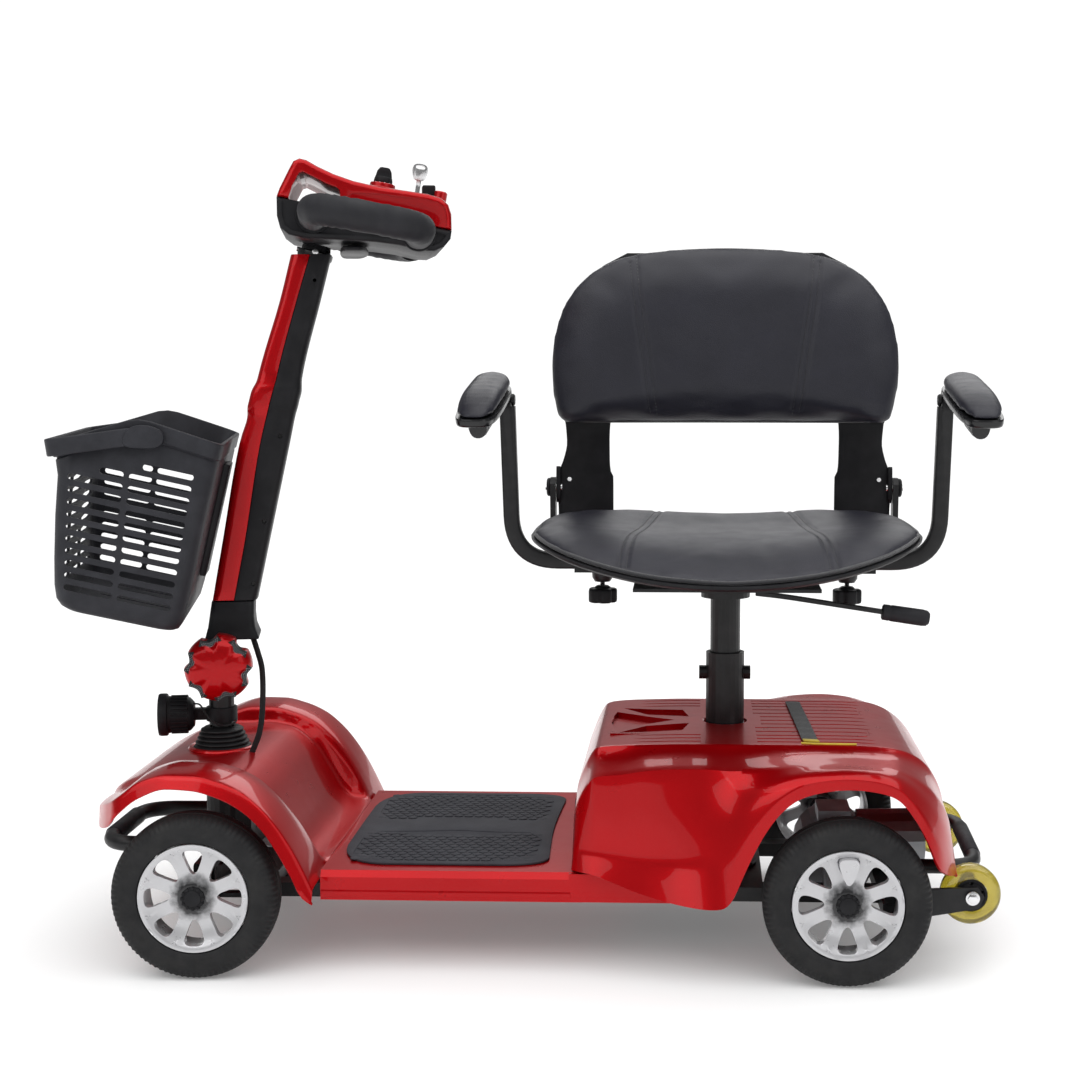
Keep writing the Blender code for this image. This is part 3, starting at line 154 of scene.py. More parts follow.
def red_paint():
    f = Finish("red_lacquer", (0.4, 0.002, 0.005), 0.28, 0.5, Coat_Weight=0.5, Coat_Roughness=0.04, Coat_IOR=1.4,
        Specular_IOR_Level=0.05)
    spark = f.node("ShaderNodeSeparateColor", {0: f.cells(2600.0, output="Color")}).outputs[0]
    base = f.blend(f.span(f.noise(5.0, 2.0), 0.35, 0.65), (0.38, 0.001, 0.0032), (0.42, 0.0016, 0.0044))
    f.link(f.blend(f.span(spark, 0.9, 1.0, 0.0, 0.25), base, (0.62, 0.03, 0.03)), "Base Color")
    f.vary_rough(f.noise(30.0, 3.0), 0.27, 0.34)
    return f.bump(f.noise(9.0, 1.0), 0.0003, 0.12).mat


def plastic(name, color, rough, grain=1400.0, depth=0.00012, **sockets):
    sockets.setdefault("Specular_IOR_Level", 0.28)
    f = Finish(name, color, rough, **sockets)
    lighter = tuple(min(1.0, c * 1.35 + 0.002) for c in color)
    f.clouded((40.0, 5.0), 0.42, 0.72, color, lighter)
    f.vary_rough(f.noise(14.0, 4.0), rough - 0.05, rough + 0.06)
    return f.bump(f.noise(grain, 2.0), depth).mat


def steel_paint():
    f = Finish("black_powder_coat", (0.009, 0.009, 0.01), 0.42, 0.0, Coat_Weight=0.12, Coat_Roughness=0.25,
        Specular_IOR_Level=0.28)
    f.clouded((55.0, 5.0), 0.42, 0.72, (0.008, 0.008, 0.009), (0.014, 0.014, 0.015))
    f.vary_rough(f.noise(25.0, 4.0), 0.37, 0.48)
    return f.bump(f.noise(650.0, 2.0), 0.0001).mat


def leather():
    f = Finish("charcoal_pu_leather", (0.016, 0.016, 0.024), 0.42, 0.0, Specular_IOR_Level=0.34)
    f.clouded((16.0, 5.0), 0.35, 0.68, (0.0145, 0.0145, 0.0215), (0.018, 0.018, 0.0265))
    pores = f.cells(760.0)
    f.vary_rough(f.noise(34.0, 5.0), 0.38, 0.46)
    f.bump(f.span(pores, 0.0, 0.65, 1.0, 0.0), 0.00022, 0.7)
    creases = f.noise(42.0, 6.0, (1.0, 1.0, 2.2), 0.62)
    return f.bump(creases, 0.0008, 0.16).mat


def tyre_rubber():
    f = Finish("tyre_black_rubber", (0.011, 0.011, 0.012), 0.72, 0.0, Specular_IOR_Level=0.35)
    f.clouded((22.0, 6.0, None, 0.7), 0.45, 0.72, (0.009, 0.009, 0.01), (0.018, 0.0175, 0.017))
    f.vary_rough(f.noise(60.0, 5.0), 0.62, 0.82)
    return f.bump(f.noise(900.0, 3.0), 0.00015).mat


def soft_rubber(name, color, rough=0.6):
    f = Finish(name, color, rough, 0.0, Specular_IOR_Level=0.28)
    f.clouded((35.0, 5.0), 0.4, 0.7, color, tuple(c * 1.3 + 0.001 for c in color))
    f.vary_rough(f.noise(45.0, 4.0), rough - 0.08, rough + 0.1)
    return f.bump(f.noise(1100.0, 2.0), 0.00016).mat


def mat_rubber():
    f = Finish("mat_scaled_rubber", (0.036, 0.037, 0.045), 0.74, 0.0, Specular_IOR_Level=0.35)
    f.clouded((28.0, 5.0), 0.4, 0.7, (0.032, 0.033, 0.041), (0.044, 0.046, 0.055))
    return f.bump(f.noise(1200.0, 2.0), 0.00025).mat


def alloy(name, color, rough):
    f = Finish(name, color, rough, 0.85, Specular_IOR_Level=0.5)
    f.clouded((18.0, 4.0), 0.4, 0.65, color, tuple(c * 0.86 for c in color))
    f.vary_rough(f.noise(50.0, 4.0), rough - 0.06, rough + 0.09)
    return f.bump(f.noise(700.0, 3.0), 0.00008).mat


def wheel_paint():
    """Silver wheel lacquer, with painted shade darkening the recessed dish round the hub to near black. The piece sits
    on its own axis.
    """
    f = Finish("silver_wheel_lacquer", (0.72, 0.72, 0.74), 0.3, 0.45, Coat_Weight=0.5, Coat_Roughness=0.1)
    split = f.node("ShaderNodeSeparateXYZ", {0: f.place})
    square = f.math("ADD", f.math("MULTIPLY", split.outputs[0], split.outputs[0]),
        f.math("MULTIPLY", split.outputs[2], split.outputs[2]))
    radius = f.math("ADD", f.math("SQRT", square), f.span(f.noise(140.0, 4.0), 0.3, 0.7, -0.003, 0.003))
    # painted shade: the recessed dish round the hub darkens to near black, standing in for shadow
    hub_painted_shade = f.span(radius, 0.0165, 0.029, 1.0, 0.0)
    f.tint(hub_painted_shade, (0.52, 0.52, 0.535), (0.02, 0.02, 0.022))
    f.vary_rough(f.noise(60.0, 4.0), 0.26, 0.38)
    return f.bump(f.noise(900.0, 2.0), 0.00005).mat


def chrome(name, color, rough):
    f = Finish(name, color, rough, 1.0)
    f.clouded((45.0, 4.0), 0.45, 0.7, color, tuple(c * 0.72 for c in color))
    f.vary_rough(f.noise(90.0, 4.0), rough - 0.06, rough + 0.12)
    return f.bump(f.noise(500.0, 2.0), 0.00004).mat


def amber():
    f = Finish("amber_urethane", (0.5, 0.38, 0.02), 0.12, 0.0, Transmission_Weight=0.78, IOR=1.5, Coat_Weight=0.6)
    f.clouded((40.0, 4.0), 0.35, 0.7, (0.46, 0.35, 0.02), (0.62, 0.52, 0.06))
    f.vary_rough(f.noise(70.0, 4.0), 0.08, 0.24)
    return f.bump(f.noise(300.0, 2.0), 0.0001).mat


def lens():
    f = Finish("clear_lamp_lens", (0.92, 0.94, 0.97), 0.06, 0.0, Transmission_Weight=0.9, IOR=1.49)
    f.vary_rough(f.noise(80.0, 3.0), 0.03, 0.1)
    wave = f.node("ShaderNodeTexWave", {"Vector": f.place, "Scale": 160.0}, bands_direction="Y")
    return f.bump(wave.outputs["Fac"], 0.0004, 0.6).mat


def webbing():
    f = Finish("woven_black_webbing", (0.016, 0.016, 0.018), 0.82, 0.0, Sheen_Weight=0.3)
    across = f.node("ShaderNodeTexWave", {"Vector": f.place, "Scale": 420.0}, bands_direction="X").outputs["Fac"]
    along_it = f.node("ShaderNodeTexWave", {"Vector": f.place, "Scale": 300.0}, bands_direction="Y").outputs["Fac"]
    weave = f.math("MULTIPLY", across, along_it)
    f.tint(weave, (0.012, 0.012, 0.014), (0.045, 0.045, 0.05))
    return f.bump(weave, 0.0004).mat


def thread(name, color):
    f = Finish(name, color, 0.7, 0.0, Sheen_Weight=0.4)
    twist = f.node("ShaderNodeTexWave", {"Vector": f.place, "Scale": 700.0}, bands_direction="DIAGONAL").outputs["Fac"]
    f.tint(twist, color, tuple(c * 1.6 for c in color))
    return f.bump(twist, 0.0002).mat


RED = red_paint()
SHELL = plastic("black_moulded_shell", (0.0105, 0.0105, 0.012), 0.46, Specular_IOR_Level=0.16)
BASKET = plastic("black_basket_plastic", (0.021, 0.0215, 0.026), 0.5, 900.0, 0.00022, Specular_IOR_Level=0.2)
GLOSS = plastic("black_gloss_plastic", (0.0075, 0.0075, 0.0085), 0.24, 400.0, 0.00005, Specular_IOR_Level=0.4)
STEEL = steel_paint()
LEATHER = leather()
TYRE = tyre_rubber()
BOOT = soft_rubber("boot_rubber", (0.01, 0.01, 0.011), 0.5)
CABLE = soft_rubber("cable_sheath", (0.008, 0.008, 0.009), 0.42)
GRIP = soft_rubber("grip_soft_rubber", (0.013, 0.013, 0.016), 0.62)
MAT = mat_rubber()
WHEEL = wheel_paint()
GREY = alloy("grey_cast_alloy", (0.34, 0.35, 0.37), 0.46)
BRIGHT = chrome("bright_plated_steel", (0.75, 0.75, 0.76), 0.16)
AMBER = amber()
LENS = lens()
WEB = webbing()
THREAD = thread("charcoal_thread", (0.0045, 0.0045, 0.006))
PIPING = thread("dark_piping", (0.008, 0.008, 0.011))
YELLOW = plastic("yellow_tab", (0.55, 0.42, 0.05), 0.5)
SLOTS = {material.name: slot for slot, materials in (("red_paint", [RED]), ("black_plastic", [SHELL, BASKET, GLOSS]),
    ("black_steel", [STEEL]), ("tyre_rubber", [TYRE]), ("soft_rubber", [BOOT, CABLE, GRIP]), ("mat_rubber", [MAT]),
    ("silver_alloy", [WHEEL]), ("grey_alloy", [GREY]), ("bright_steel", [BRIGHT]), ("amber_urethane", [AMBER]),
    ("lamp_lens", [LENS]), ("webbing", [WEB]), ("leather", [LEATHER, PIPING])) for material in materials}
def unit(vector):
    vector = np.asarray(vector, float)
    return vector / np.linalg.norm(vector)


def frame_of(direction):
    """Two unit vectors across a direction."""
    d = unit(direction)
    side = unit(np.cross((0.0, 0.0, 1.0) if abs(d[2]) < 0.9 else (1.0, 0.0, 0.0), d))
    return side, np.cross(d, side)


def ring_faces(rings, n, closed=False):
    """Quads between rings of n points. The ends are capped, or a closed row joins its last ring to its first."""
    faces = []
    for i in range(rings if closed else rings - 1):
        a, b = i * n, (i + 1) % rings * n
        faces += [(a + j, a + (j + 1) % n, b + (j + 1) % n, b + j) for j in range(n)]
    if not closed:
        faces += [tuple(reversed(range(n))), tuple(range((rings - 1) * n, rings * n))]
    return faces


def sweep(path, profile, up=None):
    """Carries a closed 2-D profile (across, up) along a polyline, with capped ends."""
    path = [np.asarray(p, float) for p in path]
    tangents = []
    for i in range(len(path)):
        a = path[max(i - 1, 0)]
        b = path[min(i + 1, len(path) - 1)]
        tangents.append(unit(b - a))
    side = frame_of(tangents[0])[0] if up is None else unit(np.cross(tangents[0], up))
    verts = []
    for i, point in enumerate(path):
        t = tangents[i]
        side = unit(side - t * np.dot(side, t))
        top = np.cross(side, t)
        stretch = 1.0
        if 0 < i < len(path) - 1:
            stretch = 1.0 / max(np.dot(unit(path[i] - path[i - 1]), t), 0.5)
        bend = path[min(i + 1, len(path) - 1)] - 2 * point + path[max(i - 1, 0)]
        bend = bend if 0 < i < len(path) - 1 else np.zeros(3)
        size = np.linalg.norm(bend)
        for a, b in profile:
            off = side * a + top * b
            if size > 1e-9:
                n = bend / size
                n = n - t * np.dot(n, t)
                n = n / max(np.linalg.norm(n), 1e-9)
                off = off + n * np.dot(off, n) * (stretch - 1.0)
            verts.append(tuple(point + off))
    return verts, ring_faces(len(path), len(profile))


def circle(r, seg=12, start=0.0):
    angles = [start + 2 * math.pi * i / seg for i in range(seg)]
    return [(r * math.cos(a), r * math.sin(a)) for a in angles]


def tube(path, r, seg=8):
    return sweep(path, circle(r, seg))


def rod(a, b, r, seg=12):
    return sweep([a, b], circle(r, seg))


def rounded(points, radius, steps=3):
    """The same polyline with its inner corners turned into arcs."""
    pts = [np.asarray(p, float) for p in points]
    out = [tuple(pts[0])]
    for i in range(1, len(pts) - 1):
        a = pts[i - 1] - pts[i]
        b = pts[i + 1] - pts[i]
        la, lb = np.linalg.norm(a), np.linalg.norm(b)
        cut = min(radius, 0.48 * la, 0.48 * lb)
        p, q = pts[i] + a / la * cut, pts[i] + b / lb * cut
        for s in range(steps + 1):
            t = s / steps
            out.append(tuple((1 - t) ** 2 * p + 2 * t * (1 - t) * pts[i] + t * t * q))
    out.append(tuple(pts[-1]))
    return out


def box(x0, x1, y0, y1, z0, z1):
    verts = [(x, y, z) for z in (z0, z1) for y in (y0, y1) for x in (x0, x1)]
    faces = [(0, 2, 3, 1), (4, 5, 7, 6), (0, 1, 5, 4), (1, 3, 7, 5), (3, 2, 6, 7), (2, 0, 4, 6)]
    return verts, faces


def loft(sections):
    """Closed solid through rings of the same number of points."""
    return [tuple(p) for ring in sections for p in ring], ring_faces(len(sections), len(sections[0]))


def extruded(outline, axis, *ends):
    """A flat outline carried along an axis. Its pairs are the other two coordinates."""
    return loft([[(*p[:axis], end, *p[axis:]) for p in outline] for end in ends])


def revolve(profile, centre, axis, seg=20, closed=True):
    """Turns (radius, height) points about an axis. An open profile starts and ends on it."""
    side, top = frame_of(axis)
    d = unit(axis)
    c = np.asarray(centre, float)
    rings = []
    verts = []
    for r, h in profile:
        if r < 1e-7:
            rings.append([len(verts)] * seg)
            verts.append(tuple(c + d * h))
            continue
        rings.append(list(range(len(verts), len(verts) + seg)))
        for i in range(seg):
            a = 2 * math.pi * i / seg
            verts.append(tuple(c + d * h + (side * math.cos(a) + top * math.sin(a)) * r))
    faces = []
    count = len(profile) if closed else len(profile) - 1
    for i in range(count):
        low, high = rings[i], rings[(i + 1) % len(profile)]
        for j in range(seg):
            k = (j + 1) % seg
            ring = []
            for v in (low[j], low[k], high[k], high[j]):
                if v not in ring:
                    ring.append(v)
            if len(ring) > 2:
                faces.append(tuple(ring))
    return verts, faces


def in_world(p):
    return (p[0] + SHIFT_X, p[1] + SHIFT_Y, p[2])


def turned(p, x, y, angle):
    dx, dy = p[0] - x, p[1] - y
    c, s = math.cos(angle), math.sin(angle)
    return (x + dx * c - dy * s, y + dx * s + dy * c, p[2])


def in_tiller(p):
    """A point given in the straight-ahead tiller frame."""
    return in_world(turned(p, STEER_X, 0.0, TILLER_TURN))


def along(u, v=0.0, y=0.0):
    """A point of the leaning tiller: u up the mast from the fold axis, v forwards of it."""
    return (FOLD_X + u * math.sin(LEAN) - v * math.cos(LEAN), y, FOLD_Z + u * math.cos(LEAN) + v * math.sin(LEAN))


def to_mesh(shape, place=None):
    verts, faces = shape
    mesh = bpy.data.meshes.new("shape")
    mesh.from_pydata([tuple(map(float, place(v) if place else v)) for v in verts], [], faces)
    work = bmesh.new()
    work.from_mesh(mesh)
    bmesh.ops.remove_doubles(work, verts=work.verts, dist=2e-6)
    bmesh.ops.recalc_face_normals(work, faces=work.faces)
    work.to_mesh(mesh)
    work.free()
    return mesh


def settle(obj):
    """The object's modifiers applied to its mesh."""
    graph = bpy.context.evaluated_depsgraph_get()
    graph.update()
    mesh = bpy.data.meshes.new_from_object(obj.evaluated_get(graph))
    obj.modifiers.clear()
    obj.data = mesh
    return obj


def shade(obj, angle=38.0):
    """Smooth shading with edges sharper than the angle kept."""
    work = bmesh.new()
    work.from_mesh(obj.data)
    for face in work.faces:
        face.smooth = True
    for edge in work.edges:
        edge.smooth = not (len(edge.link_faces) == 2 and edge.calc_face_angle(0.0) > math.radians(angle))
    work.to_mesh(obj.data)
    work.free()
    return obj


def linked(name, mesh):
    obj = bpy.data.objects.new(name, mesh)
    bpy.context.scene.collection.objects.link(obj)
    return obj


def boolean(base, operation, shapes, place):
    helpers = []
    for shape in shapes:
        helper = linked("helper", to_mesh(shape, place))
        helpers.append(helper)
        modifier = base.modifiers.new("bool", "BOOLEAN")
        modifier.operation, modifier.solver, modifier.object = operation, "EXACT", helper
    settle(base)
    for helper in helpers:
        bpy.data.objects.remove(helper, do_unlink=True)


def together(shapes):
    """Several shapes as one, each keeping its own surface."""
    verts, faces = [], []
    for v, f in shapes:
        base = len(verts)
        verts += list(v)
        faces += [tuple(i + base for i in face) for face in f]
    return verts, faces


def piece(name, shape, mat, body, place=in_world, cuts=(), adds=(), bevel=0.0, sub=0, crease=None, replaces=(),
        slot=None, angle=38.0, segments=2, origin=None, thick=0.0):
    """A finished piece: shape, optional creased subdivision and wall, booleans, bevel, material and body."""
    obj = linked(name, to_mesh(shape, place))
    if crease:
        work = bmesh.new()
        work.from_mesh(obj.data)
        layer = work.edges.layers.float.new("crease_edge")
        for edge in work.edges:
            edge[layer] = crease(edge)
        work.to_mesh(obj.data)
        work.free()
    if sub:
        modifier = obj.modifiers.new("sub", "SUBSURF")
        modifier.levels = modifier.render_levels = sub
    if thick:
        modifier = obj.modifiers.new("wall", "SOLIDIFY")
        modifier.thickness, modifier.offset, modifier.use_even_offset = thick, -1.0, True
    if sub or thick:
        settle(obj)
    if adds:
        boolean(obj, "UNION", adds, place)
    if cuts:
        boolean(obj, "DIFFERENCE", cuts, place)
    if bevel:
        modifier = obj.modifiers.new("bevel", "BEVEL")
        modifier.width, modifier.segments, modifier.limit_method = bevel, segments, "ANGLE"
        modifier.angle_limit, modifier.harden_normals = math.radians(32.0), False
        settle(obj)
    if origin is not None:
        obj.data.transform(Matrix.Translation(-Vector(origin)))
        obj.location = origin
        bpy.context.view_layer.update()
    obj.data.materials.clear()
    obj.data.materials.append(mat)
    shade(obj, angle)
    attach(obj, body)
    if replaces:
        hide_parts(*([replaces] if isinstance(replaces, str) else replaces))
    if slot is None:
        slot = SLOTS.get(mat.name)
    return obj


def dress(names, mat, bevel=0.0012):
    """A CAD node that stays, with its material and softened edges."""
    for name in names.split():
        obj = NODES[name]
        obj.data.materials.clear()
        obj.data.materials.append(mat)
        for polygon in obj.data.polygons:
            polygon.use_smooth = True
        if bevel:
            modifier = obj.modifiers.new("bevel", "BEVEL")
            modifier.width, modifier.segments, modifier.limit_method = bevel, 2, "ANGLE"
            modifier.angle_limit, modifier.harden_normals = math.radians(32.0), True


def smooth_path(points, count):
    """A smooth line through the points, resampled evenly."""
    p = np.array(points, float)
    pad = np.vstack([2 * p[0] - p[1], p, 2 * p[-1] - p[-2]])
    dense = []
    for i in range(1, len(pad) - 2):
        a, b, c, d = pad[i - 1], pad[i], pad[i + 1], pad[i + 2]
        for t in np.linspace(0, 1, 16, endpoint=False):
            dense.append(0.5 * (2 * b + (c - a) * t + (2 * a - 5 * b + 4 * c - d) * t * t
                + (3 * b - a - 3 * c + d) * t ** 3))
    dense.append(p[-1])
    dense = np.array(dense)
    gone = np.concatenate([[0], np.cumsum(np.linalg.norm(np.diff(dense, axis=0), axis=1))])
    at = np.linspace(0, gone[-1], count)
    return [tuple(np.array([np.interp(s, gone, dense[:, k]) for k in range(3)])) for s in at]


def resampled(table, xs):
    """Rows of numbers keyed by their first column, read off smoothly at xs."""
    t = np.array(table, float)
    x, rows = t[:, 0], t[:, 1:]
    slope = np.zeros_like(rows)
    step = np.diff(x)
    rise = np.diff(rows, axis=0) / step[:, None]
    for k in range(rows.shape[1]):
        for i in range(1, len(x) - 1):
            a, b = rise[i - 1, k], rise[i, k]
            if a * b > 0:
                w1, w2 = 2 * step[i] + step[i - 1], step[i] + 2 * step[i - 1]
                slope[i, k] = (w1 + w2) / (w1 / a + w2 / b)
        slope[0, k], slope[-1, k] = rise[0, k], rise[-1, k]
    out = []
    for q in xs:
        i = int(min(max(np.searchsorted(x, q) - 1, 0), len(x) - 2))
        h = step[i]
        s = (q - x[i]) / h
        out.append((1 + 2 * s) * (1 - s) ** 2 * rows[i] + s * (1 - s) ** 2 * h * slope[i]
            + s * s * (3 - 2 * s) * rows[i + 1] + s * s * (s - 1) * h * slope[i + 1])
    return np.array(out)
def chaikin(points, times=2):
    """A closed outline with its corners cut round."""
    for _ in range(times):
        out = []
        for a, b in zip(points, points[1:] + points[:1]):
            a, b = np.array(a, float), np.array(b, float)
            out += [tuple(0.75 * a + 0.25 * b), tuple(0.25 * a + 0.75 * b)]
        points = out
    return points


def grid_faces(rows, cols):
    return [(i * cols + j, i * cols + j + 1, (i + 1) * cols + j + 1, (i + 1) * cols + j) for i in range(rows - 1)
        for j in range(cols - 1)]


def mirrored_row(x, half):
    return [(x, -y, z) for y, z in reversed(half[1:])] + [(x, y, z) for y, z in half]


# ---------------------------------------------------------------- front cowl
# x, half width, middle height, fender height, lower edge height
COWL = ((-0.743, 0.1, 0.166, 0.164, 0.155), (-0.735, 0.15, 0.182, 0.178, 0.158), (-0.72, 0.19, 0.196, 0.189, 0.163),
    (-0.7, 0.226, 0.207, 0.2, 0.174), (-0.685, 0.242, 0.212, 0.21, 0.19), (-0.66, 0.242, 0.216, 0.228, 0.21),
    (-0.628, 0.242, 0.217, 0.236, 0.221), (-0.6, 0.242, 0.2185, 0.2355, 0.2195), (-0.572, 0.242, 0.214, 0.229, 0.212),
    (-0.545, 0.242, 0.194, 0.217, 0.198), (-0.52, 0.242, 0.156, 0.196, 0.174), (-0.505, 0.242, 0.131, 0.178, 0.151),
    (-0.49, 0.242, 0.119, 0.155, 0.124), (-0.478, 0.242, 0.117, 0.132, 0.099), (-0.466, 0.242, 0.1165, 0.106, 0.09))


def cowl():
    xs = sorted(set(np.round(np.concatenate([np.linspace(-0.743, -0.7, 12), np.linspace(-0.7, -0.466, 44)]), 5)))
    rows = []
    for x, (half_width, mid, top, edge) in zip(xs, resampled(COWL, xs)):
        k, d = half_width / 0.242, top - mid
        half = [(0, mid), (0.03, mid), (0.06, mid), (0.09, mid), (0.115, mid), (0.132, mid + 0.02 * d)]
        half += [(0.141, mid + 0.08 * d), (0.1465, mid + 0.28 * d), (0.1505, mid + 0.66 * d)]
        half += [(0.1545, mid + 0.92 * d), (0.162, top + 0.001), (0.185, top + 0.002), (0.21, top + 0.0018)]
        rim = top - 0.0022
        half += [(0.228, top + 0.0006), (0.2325, top), (0.2346, top - 0.0007), (0.2356, rim)]
        half += [(0.2356 + 0.006 * t, rim + t * (edge - rim)) for t in (0.3, 0.65, 0.93)] + [(0.2405, edge)]
        rows.append(mirrored_row(x, [(y * k, min(z, 0.2375)) for y, z in half]))
    shape = [p for row in rows for p in row], grid_faces(len(rows), len(rows[0]))
    piece("front_cowl_shell", shape, RED, "chassis", thick=0.0028, replaces="front_cowl",
        cuts=[rod((STEER_X, 0, 0.19), (STEER_X, 0, 0.24), 0.0345, 48)], angle=50.0)
    ring = revolve([(0.0346, 0.215), (0.0346, 0.2192), (0.0375, 0.2206), (0.0405, 0.2196), (0.042, 0.2172),
        (0.0415, 0.216)], (STEER_X, 0, 0), (0, 0, 1), 56)
    piece("cowl_boot_ring", ring, RED, "chassis")


cowl()


# ---------------------------------------------------------------- rear body
SHROUD = ((-0.1765, 0.196, 0.118, (0.16, 0.182), (0.175, 0.152), (0.182, 0.135), (0.19, 0.1195)),
    (-0.17, 0.214, 0.125, (0.172, 0.198), (0.184, 0.158), (0.188, 0.139), (0.197, 0.1195)),
    (-0.16, 0.238, 0.132, (0.182, 0.216), (0.191, 0.163), (0.193, 0.14), (0.203, 0.1195)),
    (-0.15, 0.251, 0.137, (0.189, 0.228), (0.196, 0.166), (0.197, 0.14), (0.207, 0.118)),
    (-0.12, 0.254, 0.14, (0.195, 0.232), (0.202, 0.168), (0.204, 0.138), (0.213, 0.108)),
    (-0.09, 0.255, 0.14, (0.198, 0.238), (0.205, 0.17), (0.207, 0.136), (0.218, 0.098)),
    (-0.05, 0.256, 0.14, (0.198, 0.24), (0.208, 0.172), (0.212, 0.132), (0.23, 0.091)),
    (-0.02, 0.256, 0.14, (0.198, 0.24), (0.214, 0.182), (0.222, 0.137), (0.239, 0.089)),
    (0.004, 0.256, 0.14, (0.2, 0.238), (0.225, 0.19), (0.238, 0.14), (0.242, 0.093)),
    (0.016, 0.256, 0.14, (0.2, 0.239), (0.231, 0.2), (0.24, 0.165), (0.242, 0.126)),
    (0.033, 0.256, 0.14, (0.202, 0.24), (0.236, 0.217), (0.242, 0.19), (0.242, 0.163)),
    (0.056, 0.256, 0.14, (0.204, 0.243), (0.236, 0.233), (0.242, 0.217), (0.242, 0.199)),
    (0.085, 0.256, 0.14, (0.205, 0.246), (0.234, 0.243), (0.242, 0.234), (0.242, 0.22)),
    (0.134, 0.256, 0.14, (0.205, 0.247), (0.232, 0.247), (0.242, 0.24), (0.242, 0.228)),
    (0.183, 0.254, 0.14, (0.204, 0.244), (0.23, 0.241), (0.242, 0.233), (0.242, 0.221)),
    (0.206, 0.248, 0.134, (0.2, 0.234), (0.226, 0.226), (0.24, 0.211), (0.241, 0.195)),
    (0.222, 0.239, 0.126, (0.195, 0.223), (0.22, 0.209), (0.236, 0.187), (0.239, 0.167)),
    (0.234, 0.228, 0.118, (0.188, 0.211), (0.213, 0.192), (0.229, 0.163), (0.234, 0.139)),
    (0.244, 0.213, 0.11, (0.178, 0.197), (0.203, 0.176), (0.214, 0.15), (0.221, 0.128)),
    (0.254, 0.19, 0.1, (0.163, 0.177), (0.184, 0.158), (0.193, 0.138), (0.199, 0.12)),
    (0.26, 0.16, 0.092, (0.15, 0.15), (0.168, 0.14), (0.176, 0.129), (0.182, 0.116)),)


def shroud_rows(xs):
    flat = [(r[0], r[1], r[2]) + r[3] + r[4] + r[5] + r[6] for r in SHROUD]
    rows = []
    for x, (top, wide, ay, az, by, bz, cy, cz, dy, dz) in zip(xs, resampled(flat, xs)):
        drop = max(0.006, 0.5 * (top - az))
        half = [(0.0, top), (0.35 * wide, top), (0.7 * wide, top), (wide - 0.006, top), (wide, top - 0.0002)]
        half += [(wide + 0.01, top - drop), (0.5 * (wide + 0.01 + ay), 0.5 * (top - drop + az)), (ay, az)]
        half += [(0.5 * (ay + by), 0.5 * (az + bz)), (by, bz), (cy, cz), (0.5 * (cy + dy), 0.5 * (cz + dz)), (dy, dz)]
        rows.append(mirrored_row(x, half))
    return rows


def groove(points, radius=0.012):
    """A round-bottomed channel cut into the top of the rear body."""
    return sweep(rounded([(x, y, 0.2567) for x, y in points], radius, 6), circle(0.0024, 10), (0, 0, 1))


def shroud():
    """The rear body: shell with its grooved plateau, sunk arrows and vents."""
    xs = np.concatenate([np.linspace(-0.1765, -0.15, 7), np.linspace(-0.14, 0.19, 24), np.linspace(0.2, 0.26, 13)])
    rows = shroud_rows(xs)
    front = [(x - 0.0012, y, 0.1195) for x, y, z in rows[0]]
    back = [(x + 0.003, y, 0.115) for x, y, z in rows[-1]]
    rows = [front] + rows + [back]
    cols = len(rows[0])
    middle = cols // 2
    sharp = {}
    for side in (-1, 1):
        for column, value in ((4, 0.8), (7, 0.8), (10, 0.6)):
            sharp[middle + side * column] = value
    keys = {}
    for row in rows:
        for j, value in sharp.items():
            keys[tuple(np.round(in_world(row[j]), 5))] = value

    def crease(edge):
        a, b = (keys.get(tuple(np.round(v.co, 5))) for v in edge.verts)
        return a if a and a == b and abs(edge.verts[0].co.y - edge.verts[1].co.y) < 0.02 else 0.0

    cuts = [rod((0, 0, 0.2), (0, 0, 0.3), 0.0275, 48)]
    channels = []
    for k, y in enumerate((0.124, 0.106, 0.088)):
        end = 0.196 - 0.013 * k
        channels.append(groove([(0.036, -y), (end, -y), (end, -y + 0.044)]))
        channels.append(groove([(0.036, y), (end, y), (end, y - 0.044)]))
        channels.append(groove([(-0.03, -y), (-0.128 - 0.006 * k, -y)]))
        channels.append(groove([(-0.03, y), (-0.128 - 0.006 * k, y)]))
    for y in (-0.066, -0.044, -0.022, 0.0, 0.022, 0.044, 0.066):
        channels.append(groove([(0.044 if abs(y) < 0.03 else 0.036, y), (0.186, y)]))
    cuts += channels
    for side in (-1, 1):
        arrow = [(-0.044, side * 0.02), (-0.052, side * 0.062), (-0.128, side * 0.075), (-0.096, side * 0.034)]
        cuts.append(extruded(arrow, 2, 0.249, 0.26))
    cuts.append(extruded(((-0.062, 0.0), (-0.135, 0.05), (-0.14, 0.0), (-0.135, -0.05)), 2, 0.249, 0.26))
    shape = [p for row in rows for p in row], grid_faces(len(rows), cols)
    tray = box(-0.138, -0.04, -0.08, 0.08, 0.2465, 0.255)
    piece("rear_body_shell", shape, RED, "chassis", sub=2, crease=crease, thick=0.0029, cuts=cuts, adds=[tray],
        replaces="rear_shroud", angle=33.0)
    for name, x, z, lean in (("front", -0.1784, 0.16, 0.0012), ("rear", 0.259, 0.158, -0.006)):
        for word, side in SIDES:
            turn = 1 if name == "front" else -1
            oval = [(0.0085 * math.cos(a), 0.0195 * math.sin(a)) for a in np.linspace(0, 2 * math.pi, 28)[:-1]]
            rings = []
            for scale, out in ((1.0, -0.003), (1.0, 0.0012), (0.86, 0.0016), (0.78, -0.0015)):
                rings.append([(x - turn * out + lean * b * scale / 0.0195, side * 0.088 + a * scale, z + b * scale)
                    for a, b in oval])
            piece(f"{name}_{word}_vent_oval", loft(rings), SHELL, "chassis")


shroud()


